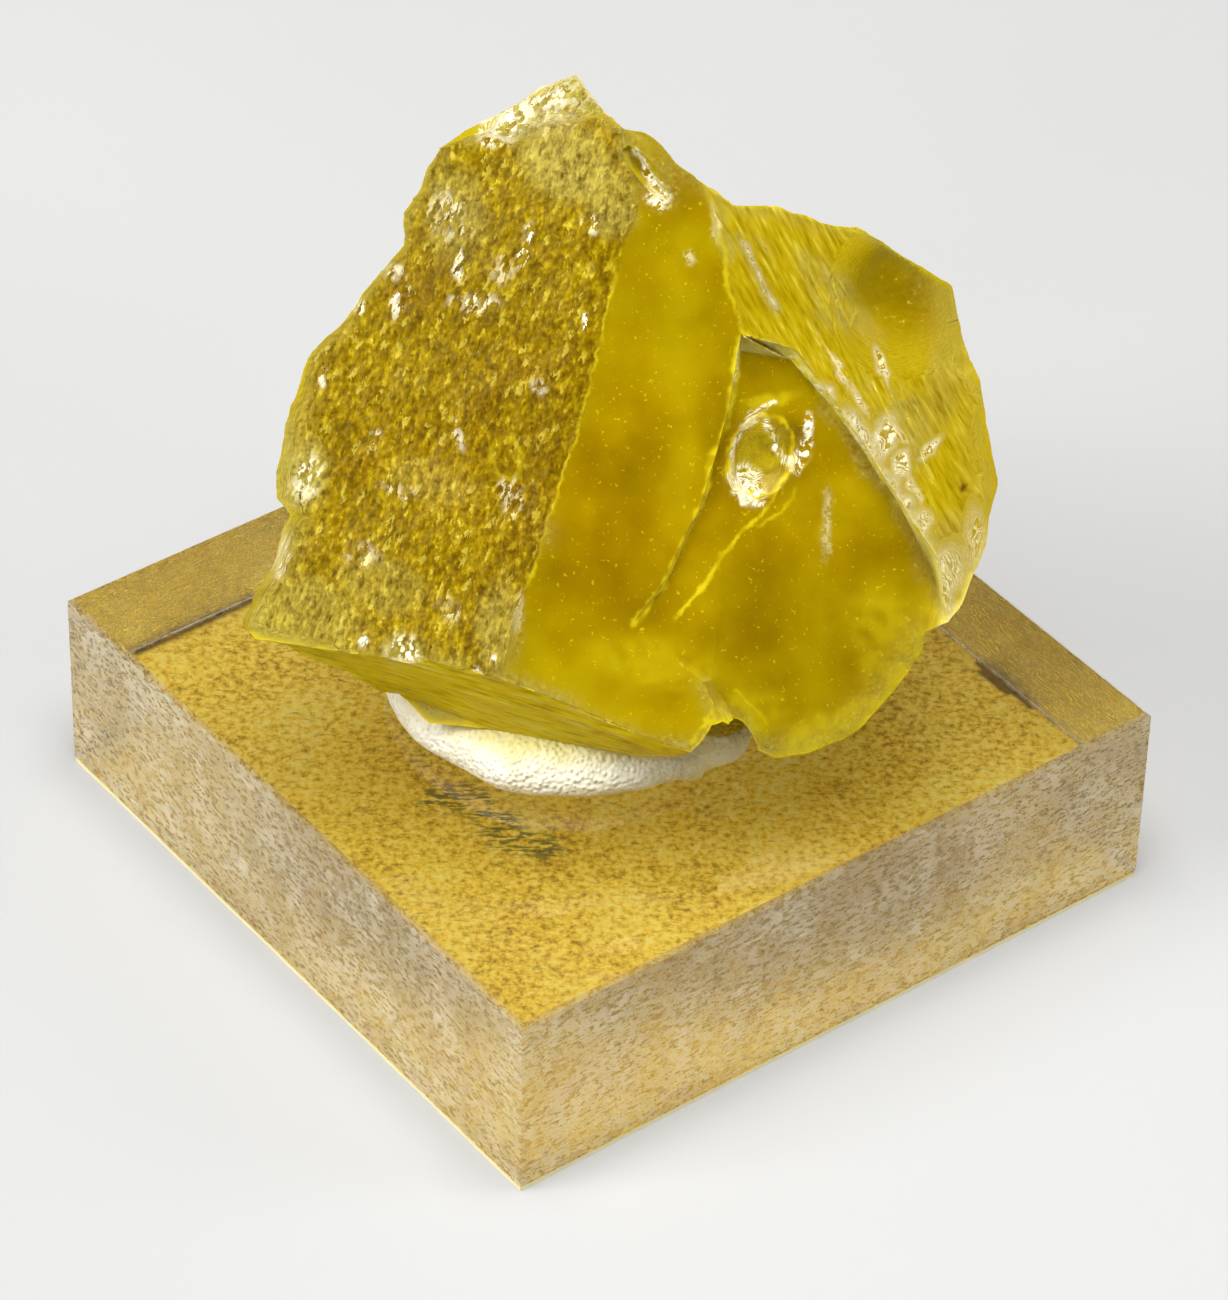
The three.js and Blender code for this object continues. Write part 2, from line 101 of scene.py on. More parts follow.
def to_specimen(points: Array) -> Array:
    """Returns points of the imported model's frame (metres) as specimen points (mm)."""
    cosine, sine = math.cos(SPECIMEN_TURN), math.sin(SPECIMEN_TURN)
    x, y, z = points.T / MM
    return np.stack([x * cosine + y * sine, -x * sine + y * cosine, z - BLOCK_TOP], 1)


class Seed(Enum):
    """The numbers that the random reliefs are drawn from."""

    MARKS = 3
    RELIEF = 7
    PLATES = 11
    BREAKS = 23
    HEWN = 31
    PUTTY = 41
    SAW = 53
    TORN = 61


class GradientNoise:
    """Smooth random relief in space, about -1 to 1, the same for the same seed."""

    CELLS = 256

    def __init__(self, seed: Seed) -> None:
        """Draws the lattice; the seed picks the pattern."""
        rng = np.random.default_rng(seed.value)
        self.order = rng.permutation(self.CELLS)
        slopes = rng.normal(size=(self.CELLS, 3))
        self.slopes = slopes / np.linalg.norm(slopes, axis=1, keepdims=True)

    def corner(self, cell: Array) -> Array:
        """Returns the lattice number of each whole-number cell."""
        x, y, z = (cell % self.CELLS).T
        return self.order[(self.order[(self.order[x] + y) % self.CELLS] + z) % self.CELLS]

    def at(self, points: Array) -> Array:
        """Returns the relief at each point, with features about one unit wide."""
        cell = np.floor(points).astype(int)
        inside = points - cell
        ease = inside**3 * (inside * (inside * 6.0 - 15.0) + 10.0)
        total = np.zeros(len(points))
        for step in np.ndindex(2, 2, 2):
            offset = inside - step
            weight = np.prod(np.where(np.array(step) == 1, ease, 1.0 - ease), axis=1)
            total += weight * np.einsum("ij,ij->i", self.slopes[self.corner(cell + step)], offset)
        return total * 1.6

    def fractal(self, points: Array, octaves: int = 3, gain: float = 0.5) -> Array:
        """Returns several sizes of relief added up.

        Args:
            points: where, in units of the largest size.
            octaves: how many sizes, each half the last.
            gain: the height of each against the last.

        Returns:
            The summed relief.
        """
        total, height, scale = np.zeros(len(points)), 1.0, 1.0
        for _ in range(octaves):
            total += height * self.at(points * scale)
            height *= gain
            scale *= 2.03
        return total

    def scales(self, points: Array, tilt: float) -> tuple[Array, Array]:
        """Breaks space into small flat plates, each tilted its own way, as on broken or etched crystal.

        Args:
            points: where, in units of a plate's width.
            tilt: the steepest slope of a plate.

        Returns:
            The height of the plate's surface and the plate's own number from 0 to 1, at each point.
        """
        cell = np.floor(points).astype(int)
        nearest = np.full(len(points), np.inf)
        height, number = np.zeros(len(points)), np.zeros(len(points))
        for step in np.ndindex(3, 3, 3):
            home = cell + step - 1
            key = self.corner(home)
            centre = home + 0.5 + 0.45 * self.slopes[key]
            offset = points - centre
            distance = np.einsum("ij,ij->i", offset, offset)
            closer = distance < nearest
            nearest = np.where(closer, distance, nearest)
            slope = self.slopes[self.order[key]] * tilt
            height = np.where(closer, np.einsum("ij,ij->i", offset, slope), height)
            number = np.where(closer, key / self.CELLS, number)
        return height, number


def grain_axes(along: tuple[float, float, float], facing: tuple[float, float, float]) -> Array:
    """Returns three axes as rows: across the grain in the face, out of the face, and along the grain."""
    length = unit(along)
    out = unit(facing)
    sideways = unit(tuple(np.cross(length, out)))
    return np.stack([sideways, np.cross(sideways, length), length])


def distance_to(path: Path, places: Array) -> tuple[Array, Array]:
    """Measures how far flat places are from a line of several straight runs.

    Args:
        path: the line's corners.
        places: (n, 2) places.

    Returns:
        The distance of each place, and how far along the line its nearest point is, from 0 to 1.
    """
    corners = np.array(path, float)
    run = np.linalg.norm(np.diff(corners, axis=0), axis=1)
    before = np.concatenate([[0.0], np.cumsum(run)])
    best, share = np.full(len(places), np.inf), np.zeros(len(places))
    for start, end, length, sofar in zip(corners[:-1], corners[1:], run, before):
        along = np.clip(((places - start) @ (end - start)) / length**2, 0.0, 1.0)
        gap = np.linalg.norm(places - start - along[:, None] * (end - start), axis=1)
        nearer = gap < best
        best = np.where(nearer, gap, best)
        share = np.where(nearer, (sofar + along * length) / before[-1], share)
    return best, share


def inside_loop(loop: Path, places: Array) -> Array:
    """Returns whether each flat place is inside a closed loop."""
    corners = np.array(loop, float)
    x, y = places.T
    inside = np.zeros(len(places), bool)
    for (x0, y0), (x1, y1) in zip(corners, np.roll(corners, -1, axis=0)):
        crosses = (y0 > y) != (y1 > y)
        rise = y1 - y0 if y1 != y0 else 1.0
        inside ^= crosses & (x < x0 + (y - y0) / rise * (x1 - x0))
    return inside


# ---------------------------------------------------------------- meshes


@dataclass
class Skin:
    """A closed triangle mesh that is refined, relaxed and carved before it becomes an object."""

    points: Array
    triangles: Array

    @classmethod
    def of_node(cls, node: bpy.types.Object, convert: Callable[[Array], Array]) -> "Skin":
        """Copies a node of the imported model, with corners at one place made one.

        Args:
            node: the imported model's object.
            convert: turns its metres into the working coordinates.

        Returns:
            The node's skin.
        """
        mesh = node.data
        mesh.calc_loop_triangles()
        places = np.zeros(len(mesh.vertices) * 3, np.float32)
        mesh.vertices.foreach_get("co", places)
        corners = np.zeros(len(mesh.loop_triangles) * 3, np.int32)
        mesh.loop_triangles.foreach_get("vertices", corners)
        keys = np.round(places.reshape(-1, 3) / (MM * 1e-3)).astype(np.int64)
        _, first, same = np.unique(keys, axis=0, return_index=True, return_inverse=True)
        points = convert(places.reshape(-1, 3)[first].astype(float))
        triangles = same.reshape(-1)[corners].reshape(-1, 3)
        a, b, c = triangles.T
        return cls(points, triangles[(a != b) & (b != c) & (c != a)])

    def edges(self) -> tuple[Array, Array]:
        """Returns each edge's two corners, and for each triangle the numbers of its edges 01, 12 and 20."""
        sides = np.concatenate([self.triangles[:, [0, 1]], self.triangles[:, [1, 2]], self.triangles[:, [2, 0]]])
        keys = sides.min(1).astype(np.int64) * len(self.points) + sides.max(1)
        kept, number = np.unique(keys, return_inverse=True)
        ends = np.stack([kept // len(self.points), kept % len(self.points)], 1)
        return ends, number.reshape(3, -1).T

    def refine(self, longest: Callable[[Array], Array]) -> None:
        """Halves the longest side of every triangle that is too long, until none is.

        Args:
            longest: gives the length allowed at each place.
        """
        while True:
            ends, sides = self.edges()
            start, end = self.points[ends[:, 0]], self.points[ends[:, 1]]
            middle = (start + end) / 2.0
            length = np.linalg.norm(end - start, axis=1)
            chosen = sides[np.arange(len(sides)), np.argmax(length[sides], axis=1)]
            cut = np.zeros(len(ends), bool)
            cut[chosen] = True
            cut &= length > longest(middle)
            if not cut.any():
                return
            fresh = np.full(len(ends), -1)
            fresh[cut] = len(self.points) + np.arange(cut.sum())
            self.points = np.concatenate([self.points, middle[cut]])
            self.triangles = self.split(fresh[sides])

    def split(self, middles: Array) -> Array:
        """Cuts triangles along the new points in their edges.

        Args:
            middles: for each triangle, the new point on its edges 01, 12 and 20, or -1.

        Returns:
            The new triangles.
        """
        corners = self.triangles.copy()
        count = (middles >= 0).sum(1)
        # Turned so that a lone new point is on edge 01, and a lone whole edge is edge 20.
        turn = np.where(count == 1, np.argmax(middles >= 0, axis=1), (np.argmin(middles >= 0, axis=1) + 1) % 3)
        order = (turn[:, None] + np.arange(3)) % 3
        corners = np.take_along_axis(corners, order, 1)
        middles = np.take_along_axis(middles, order, 1)
        made = [corners[count == 0]]
        a, b, c = corners[count == 1].T
        m = middles[count == 1][:, 0]
        made += [np.stack([a, m, c], 1), np.stack([m, b, c], 1)]
        a, b, c = corners[count == 2].T
        m, n, _ = middles[count == 2].T
        made.append(np.stack([m, b, n], 1))
        to_n = np.linalg.norm(self.points[a] - self.points[n], axis=1)
        to_m = np.linalg.norm(self.points[c] - self.points[m], axis=1)
        short = (to_n < to_m)[:, None]
        made.append(np.where(short, np.stack([a, m, n], 1), np.stack([a, m, c], 1)))
        made.append(np.where(short, np.stack([a, n, c], 1), np.stack([m, n, c], 1)))
        a, b, c = corners[count == 3].T
        m, n, k = middles[count == 3].T
        made += [np.stack(t, 1) for t in ((a, m, k), (m, b, n), (k, n, c), (m, n, k))]
        return np.concatenate(made)

    def facings(self) -> Array:
        """Returns each triangle's outward direction."""
        a, b, c = (self.points[self.triangles[:, i]] for i in range(3))
        out = np.cross(b - a, c - a)
        return out / np.maximum(np.linalg.norm(out, axis=1, keepdims=True), 1e-12)

    def normals(self) -> Array:
        """Returns each point's outward direction, weighted by the triangles' areas."""
        a, b, c = (self.points[self.triangles[:, i]] for i in range(3))
        out = np.cross(b - a, c - a)
        total = np.stack(
            [np.bincount(self.triangles.ravel(), np.repeat(out[:, i], 3), len(self.points)) for i in range(3)], 1
        )
        return total / np.maximum(np.linalg.norm(total, axis=1, keepdims=True), 1e-12)

    def creases(self, angle: float) -> Array:
        """Returns the ends of the edges where the skin turns by more than an angle, in radians."""
        ends, sides = self.edges()
        facings = self.facings()
        total = np.stack([np.bincount(sides.ravel(), np.repeat(facings[:, i], 3), len(ends)) for i in range(3)], 1)
        # Two unit directions at an angle t add up to a length of 2 cos(t/2).
        return ends[np.linalg.norm(total, axis=1) < 2.0 * math.cos(angle / 2.0)]

    def averaged(self, values: Array, ends: Array) -> Array:
        """Returns the mean of each point's neighbours over the given edges, and its own value where it has none."""
        table = values.reshape(len(values), -1)
        both = np.concatenate([ends, ends[:, ::-1]])
        count = np.bincount(both[:, 0], minlength=len(values))
        total = np.stack([np.bincount(both[:, 0], column[both[:, 1]], len(values)) for column in table.T], 1)
        mean = np.where(count[:, None] > 0, total / np.maximum(count, 1)[:, None], table)
        return mean.reshape(values.shape)

    def relax(self, angle: float, rounds: int, crease_rounds: int) -> None:
        """Evens out facets between creases, and evens the creases along themselves.

        Args:
            angle: an edge that turns by more than this, in radians, is a crease.
            rounds: how many times the faces are averaged.
            crease_rounds: how many times the creases are.
        """
        ends, _ = self.edges()
        creases = self.creases(angle)
        branches = np.bincount(creases.ravel(), minlength=len(self.points))
        free = branches == 0
        inline = branches == 2
        for i in range(rounds):
            mean = self.averaged(self.points, ends)
            self.points[free] = mean[free]
            if i < crease_rounds:
                mean = self.averaged(self.points, creases)
                self.points[inline] = (self.points[inline] + mean[inline]) / 2.0

    def spread(self, values: Array, rounds: int) -> Array:
        """Returns values blurred over the skin, one edge further each round."""
        ends, _ = self.edges()
        for _ in range(rounds):
            values = (values + self.averaged(values, ends)) / 2.0
        return values

    def as_object(self, name: str, convert: Callable[[Array], Array], sharp: float) -> bpy.types.Object:
        """Makes the Blender object.

        Args:
            name: the piece's name.
            convert: turns the working coordinates into metres.
            sharp: an edge that turns by more than this, in radians, is shaded sharp.

        Returns:
            The object, in the scene, at the origin.
        """
        mesh = bpy.data.meshes.new(name)
        count = len(self.triangles)
        mesh.vertices.add(len(self.points))
        mesh.vertices.foreach_set("co", convert(self.points).astype(np.float32).ravel())
        mesh.loops.add(count * 3)
        mesh.loops.foreach_set("vertex_index", self.triangles.astype(np.int32).ravel())
        mesh.polygons.add(count)
        mesh.polygons.foreach_set("loop_start", (np.arange(count) * 3).astype(np.int32))
        mesh.polygons.foreach_set("use_smooth", np.ones(count, bool))
        mesh.update(calc_edges=True)
        mesh.validate()
        mesh.set_sharp_from_angle(angle=sharp)
        piece = bpy.data.objects.new(name, mesh)
        bpy.context.scene.collection.objects.link(piece)
        return piece


def keep_values(piece: bpy.types.Object, name: str, values: list[Array]) -> None:
    """Stores up to three numbers for each point of a piece under one name, for its finish to read."""
    rows = np.zeros((len(piece.data.vertices), 3), np.float32)
    rows[:, : len(values)] = np.stack(values, 1)
    layer = piece.data.attributes.new(name, "FLOAT_VECTOR", "POINT")
    layer.data.foreach_set("vector", rows.ravel())


# ---------------------------------------------------------------- finishes


def linear(hex_colour: str) -> tuple[float, float, float, float]:
    """Returns an sRGB hex colour as linear red, green, blue and alpha."""
    parts = [int(hex_colour[i : i + 2], 16) / 255.0 for i in (1, 3, 5)]
    light = [p / 12.92 if p <= 0.04045 else ((p + 0.055) / 1.055) ** 2.4 for p in parts]
    return (*light, 1.0)


def add(tree: Tree, kind: str, links: dict | None = None, **settings) -> bpy.types.Node:
    """Adds one node.

    Args:
        tree: the node tree.
        kind: Blender's name for the node, without its ShaderNode prefix.
        links: for each input, by name or number, the socket, value or hex colour that it gets.
        **settings: the node's own settings.

    Returns:
        The node.
    """
    node = tree.nodes.new("ShaderNode" + kind)
    for name, value in settings.items():
        setattr(node, name, value)
    for key, value in (links or {}).items():
        if isinstance(value, Socket):
            tree.links.new(value, node.inputs[key])
        else:
            node.inputs[key].default_value = linear(value) if isinstance(value, str) else value
    return node


def ramp(tree: Tree, value: Socket, stops: Stops) -> Socket:
    """Turns a number into a colour, or into another number, along a ramp."""
    node = add(tree, "ValToRGB", {0: value})
    elements = node.color_ramp.elements
    while len(elements) < len(stops):
        elements.new(1.0)
    for element, (place, result) in zip(elements, stops):
        element.position = place
        element.color = linear(result) if isinstance(result, str) else (result, result, result, 1.0)
    return node.outputs[0]


def pattern(tree: Tree, place: Socket, scale: float, detail: float, roughness: float = 0.5) -> Socket:
    """Returns a cloudy pattern from 0 to 1.

    Args:
        tree: the node tree.
        place: socket with the place in millimetres.
        scale: features to the millimetre.
        detail: how many finer sizes are added, each half the last.
        roughness: the strength of each size against the last.

    Returns:
        The pattern's socket.
    """
    links = {"Vector": place, "Scale": scale, "Detail": detail, "Roughness": roughness}
    return add(tree, "TexNoise", links).outputs["Fac"]


def mixed(tree: Tree, share, first, second, blend: str = "MIX") -> Socket:
    """Mixes two colours.

    Args:
        tree: the node tree.
        share: socket or number, how much of the second.
        first: socket or hex colour.
        second: socket or hex colour.
        blend: how they mix.

    Returns:
        The mixed colour's socket.
    """
    # Inputs 0, 6 and 7 of the Mix node are its factor and its two colours, and output 2 is its colour.
    node = add(tree, "Mix", {0: share, 6: first, 7: second}, data_type="RGBA", blend_type=blend)
    return node.outputs[2]


def worked(tree: Tree, operation: str, *values: Socket | float) -> Socket:
    """Returns the result of a Math node on sockets or numbers."""
    return add(tree, "Math", dict(enumerate(values)), operation=operation).outputs[0]


def times(tree: Tree, first: Socket | float, second: Socket | float) -> Socket:
    """Returns the product of two sockets or numbers."""
    return worked(tree, "MULTIPLY", first, second)


def scaled(tree: Tree, value: Socket, by: Socket | float, plus: Socket | float) -> Socket:
    """Returns a value times one number plus another, kept between 0 and 1."""
    links = {0: value, 1: by, 2: plus}
    return add(tree, "Math", links, operation="MULTIPLY_ADD", use_clamp=True).outputs[0]


def vectors(tree: Tree, operation: str, first, second=None) -> Socket:
    """Returns the result of a Vector Math node; SCALE takes a number second, and NORMALIZE nothing."""
    links = {0: first}
    if second is not None:
        links["Scale" if operation == "SCALE" else 1] = second
    return add(tree, "VectorMath", links, operation=operation).outputs[0]


def bump(tree: Tree, strength: float, depth: float, height: Socket) -> Socket:
    """Returns the surface's direction, tilted by a height that is worth depth millimetres from 0 to 1."""
    return add(tree, "Bump", {"Strength": strength, "Distance": depth * MM, "Height": height}).outputs[0]


def facing_up(tree: Tree) -> Socket:
    """Returns how far the surface faces up: 1 for up, 0 for level and -1 for down."""
    facing = add(tree, "NewGeometry").outputs["True Normal"]
    return add(tree, "SeparateXYZ", {0: facing}).outputs["Z"]


def kept_values(tree: Tree, name: str) -> list[Socket]:
    """Returns the sockets of the three numbers that a piece keeps for each point under a name."""
    kept = add(tree, "Attribute", attribute_name=name).outputs["Vector"]
    return list(add(tree, "SeparateXYZ", {0: kept}).outputs)


def specimen_space(tree: Tree) -> Socket:
    """Returns places on the piece in millimetres along the specimen's own axes."""
    place = add(tree, "TexCoord").outputs["Object"]
    turned = {"Vector": place, "Rotation": (0.0, 0.0, -SPECIMEN_TURN), "Scale": (1.0 / MM,) * 3}
    return add(tree, "Mapping", turned).outputs[0]


def grain_space(tree: Tree, place, axes: Array, along: float) -> Socket:
    """Stretches a pattern along the grain.

    Args:
        tree: the node tree.
        place: socket with the place in millimetres.
        axes: the grain's axes, as grain_axes gives them.
        along: how much longer the pattern is along the grain.

    Returns:
        The socket of the stretched place.
    """
    turn = Matrix(axes.tolist()).to_euler()
    turned = add(tree, "Mapping", {"Vector": place, "Rotation": turn}).outputs[0]
    return add(tree, "Mapping", {"Vector": turned, "Scale": (1.0, 1.0, 1.0 / along)}).outputs[0]


ETCHED_GRAIN = grain_axes((0.26, 0.66, 1.0), (-0.22, -0.78, 0.58))  # scales climb the etched face
RIBBED_GRAIN = grain_axes((4.6, -3.6, -7.0), (0.3, -0.75, 0.58))  # growth lines run down to the right
FOOT_GRAIN = grain_axes((24.0, -4.5, -3.8), (0.0, -0.7, -0.7))  # fibres run along the undercut


class Finish(ABC):
    """A finish made of nodes alone."""

    name: str

    @abstractmethod
    def inputs(self, tree: Tree) -> dict:
        """Adds the finish's own nodes, and returns what each input of its shader gets."""

    def inside(self, tree: Tree) -> dict:
        """Adds what fills the piece, and returns it as an input of the material's output."""
        return {}

    def make(self) -> bpy.types.Material:
        """Returns the finish as a material."""
        material = bpy.data.materials.new(self.name)
        material.use_nodes = True
        tree = material.node_tree
        tree.nodes.clear()
        shader = add(tree, "BsdfPrincipled", self.inputs(tree))
        add(tree, "OutputMaterial", {"Surface": shader.outputs[0], **self.inside(tree)})
        return material


@dataclass(frozen=True)
class NaturalFluorite(Finish):
    """Fluorite, grown, cleaved and partly etched: cloudy see-through yellow with dull and glassy faces."""

    name: str = "yellow fluorite, natural"
    ior: float = 1.434
    specular_level: float = 0.3
    gleam: str = "#F4E27A"  # reflections pass through the crystal's outer clouds
    absorption: str = "#F8E628"  # what is left of white light after some depth
    density: float = 120.0  # per metre
    smooth: Stops = ((0.25, "#A08200"), (0.50, "#B29600"), (0.75, "#C2AA04"))
    etched: Stops = ((0.28, "#685000"), (0.42, "#826800"), (0.55, "#9A7E00"), (0.67, "#B89C08"), (0.80, "#DCC836"))
    ribbed: Stops = ((0.32, "#AC9000"), (0.46, "#C4AA04"), (0.60, "#D4BC14"), (0.73, "#EEDC4C"))
    fibrous: Stops = ((0.30, "#B89E00"), (0.44, "#E4CC00"), (0.58, "#F4E01C"), (0.76, "#FAF07C"))
    crushed_and_glint: str = "#FBF6D8"  # fresh breaks scatter nearly white, and the glints on them are painted in this white
    glowing: str = "#F6E41C"  # light caught along a crack
    thin: str = "#ECDF6C"  # thin edges hold little colour; the paler colour also stands in for the light through them, painted light
    scaly: str = "#E8DA5C"  # single scales that lie to the light
    deep: str = "#6E5600"  # the darker places are multiplied by it: deeper colour, and painted shade
    rusty: str = "#B07A20"  # iron stain in the etched face
    flecks: Stops = ((0.655, 0.0), (0.70, 0.6))  # specks that glow in the clear faces
    flakes: Stops = ((0.94, 0.0), (0.96, 0.4))  # the few scales that catch the light
    grain: float = 3.1  # features of the grain to the millimetre
    shards: float = 3.6  # small facets to the millimetre
    etching: float = 0.1  # mm, depth of the bumps on the etched face
    lean: tuple = (-0.42, -0.50, 0.76)  # breaks scatter the light that comes from above, whichever way they face

    def inputs(self, tree: Tree) -> dict:
        """Adds the nodes, which read the values that the crystal keeps for each point."""
        value = {}
        for name, zones in Zone.layers().items():
            value.update(zip(zones, kept_values(tree, name)))
        place = self.grain_place(tree, value)
        grain = pattern(tree, place, self.grain, 2.0, 0.72)
        # Small facets with ragged sides: the grain pushes their borders about.
        push = add(tree, "CombineXYZ", {0: grain, 2: grain}).outputs[0]
        pushed = vectors(tree, "ADD", place, push)
        facet = add(tree, "TexVoronoi", {"Vector": pushed, "Scale": self.shards}, feature="F1").outputs["Color"]
        chance = add(tree, "SeparateColor", {0: facet}).outputs[0]

        # Painted glints: facets of the breaks flash white, fewer of them where etched.
        fewer = scaled(tree, value[Zone.ETCHED], -0.16, 0.6)
        flash = scaled(tree, worked(tree, "ADD", chance, fewer), 3.4, -3.3)
        crushed_and_glint = times(tree, value[Zone.FROST], flash)
        # Dull where etched, glassy on cleavages and on the small facets of a fresh break.
        rough = scaled(tree, value[Zone.ETCHED], 0.22, 0.2)
        rough = scaled(tree, value[Zone.RIBBED], 0.12, rough)
        rough = scaled(tree, value[Zone.FOOT], 0.2, rough)
        rough = scaled(tree, grain, 0.16, worked(tree, "SUBTRACT", rough, 0.08))
        # The clouds let less light straight through than the clear crystal does.
        clear = scaled(tree, value[Zone.ETCHED], -0.12, 0.44)
        clear = scaled(tree, value[Zone.THIN], 0.25, clear)
        return {
            "Base Color": mixed(tree, crushed_and_glint, self.colour(tree, value, grain, chance), self.crushed_and_glint),
            "Roughness": scaled(tree, crushed_and_glint, -0.14, rough),
            "IOR": self.ior,
            "Specular IOR Level": self.specular_level,
            "Specular Tint": self.gleam,
            "Transmission Weight": scaled(tree, crushed_and_glint, -0.3, clear),
            "Normal": self.relief(tree, value, facet),
        }

    def inside(self, tree: Tree) -> dict:
        """Adds the crystal's own yellow, which deepens with its thickness."""
        yellow = add(tree, "VolumeAbsorption", {"Color": self.absorption, "Density": self.density})
        return {"Volume": yellow.outputs[0]}

    def grain_place(self, tree: Tree, value: dict) -> Socket:
        """Returns places in millimetres, stretched along each zone's own grain."""
        place = specimen_space(tree)
        chosen = place
        for zone, axes, along in (
            (Zone.ETCHED, ETCHED_GRAIN, 1.9),
            (Zone.RIBBED, RIBBED_GRAIN, 7.0),
            (Zone.FOOT, FOOT_GRAIN, 9.0),
        ):
            # Inputs 0, 4 and 5 of the Mix node are its factor and its two vectors, and output 1 is its vector.
            links = {0: value[zone], 4: chosen, 5: grain_space(tree, place, axes, along)}
            chosen = add(tree, "Mix", links, data_type="VECTOR").outputs[1]
        return chosen

    def colour(self, tree: Tree, value: dict, grain: Socket, chance: Socket) -> Socket:
        """Mixes the colour of each zone.

        Args:
            tree: the node tree.
            value: sockets of the crystal's kept values.
            grain: socket of the fine pattern.
            chance: socket with a number for each small facet.

        Returns:
            The colour's socket.
        """
        colour = ramp(tree, value[Zone.CLOUD], self.smooth)
        colour = mixed(tree, ramp(tree, grain, self.flecks), colour, self.glowing)
        lit = scaled(tree, chance, 0.16, grain)
        lit = scaled(tree, value[Zone.PLATE], 0.14, worked(tree, "SUBTRACT", lit, 0.15))
        dull = ramp(tree, lit, self.etched)
        rust = scaled(tree, value[Zone.CLOUD], -2.6, 1.15)
        dull = mixed(tree, times(tree, rust, 0.35), dull, self.rusty, "MULTIPLY")
        dull = mixed(tree, ramp(tree, chance, self.flakes), dull, self.scaly)
        colour = mixed(tree, value[Zone.ETCHED], colour, dull)
        for zone, stops in ((Zone.RIBBED, self.ribbed), (Zone.FOOT, self.fibrous)):
            colour = mixed(tree, value[zone], colour, ramp(tree, grain, stops))
        clouded = times(tree, value[Zone.THIN], scaled(tree, grain, 2.6, -0.72))
        colour = mixed(tree, clouded, colour, self.thin)
        colour = mixed(tree, value[Zone.SHADE], colour, self.deep, "MULTIPLY")
        return mixed(tree, value[Zone.GLOW], colour, self.glowing)

    def relief(self, tree: Tree, value: dict, facet: Socket) -> Socket:
        """Tilts the surface for relief finer than the mesh.

        Args:
            tree: the node tree.
            value: sockets of the crystal's kept values.
            facet: socket with a colour for each small facet.

        Returns:
            The socket of the tilted direction.
        """
        pits = times(tree, pattern(tree, specimen_space(tree), self.grain, 0.0), value[Zone.ETCHED])
        bumped = bump(tree, 0.6, self.etching, pits)
        # Each facet has a tilt of its own, and fresh breaks lean to the light.
        centred = vectors(tree, "SUBTRACT", facet, (0.5, 0.5, 0.5))
        reach = scaled(tree, value[Zone.FROST], 0.9, times(tree, value[Zone.ETCHED], 0.16))
        share = scaled(tree, value[Zone.FROST], 1.3, times(tree, value[Zone.GLOW], 0.8))
        tilt = vectors(tree, "ADD", vectors(tree, "SCALE", centred, reach), vectors(tree, "SCALE", self.lean, share))
        return vectors(tree, "NORMALIZE", vectors(tree, "ADD", bumped, tilt))


@dataclass(frozen=True)
class PressedPutty(Finish):
    """Mounting putty, rolled and pressed by hand: a soft matte off-white with a leathery skin."""

    name: str = "mounting putty, hand pressed"
    ior: float = 1.5
    colour: str = "#F4F0DC"
    hollow: str = "#E2D8AE"
    lobe_shade: str = "#E4DAA6"  # painted shade on the pinched lobe under the notch
    tinged: str = "#CDBE4A"  # light that has come through the crystal
    grain: float = 0.3  # mm between the bumps of its skin
    bumps: float = 0.2  # mm

    def inputs(self, tree: Tree) -> dict:
        """Adds the nodes, which read where the pinched lobe gets painted shade and where the wad gets painted light
        from the crystal.
        """
        place = specimen_space(tree)
        skin = add(tree, "TexVoronoi", {"Vector": place, "Scale": 1.0 / self.grain}, feature="SMOOTH_F1")
        slow = pattern(tree, place, 0.5, 3.0)
        lobe_shade_share, tinge, _ = kept_values(tree, "putty_shade_and_light")
        colour = mixed(tree, 0.35, self.colour, ramp(tree, slow, ((0.35, self.hollow), (0.6, self.colour))))
        # Painted shade on the pinched lobe, then painted light from the crystal.
        colour = mixed(tree, lobe_shade_share, colour, self.lobe_shade)
        return {
            "Base Color": mixed(tree, tinge, colour, self.tinged),
            "Roughness": scaled(tree, slow, 0.2, 0.55),
            "IOR": self.ior,
            "Normal": bump(tree, 1.0, self.bumps, times(tree, skin.outputs["Distance"], -1.0)),
        }


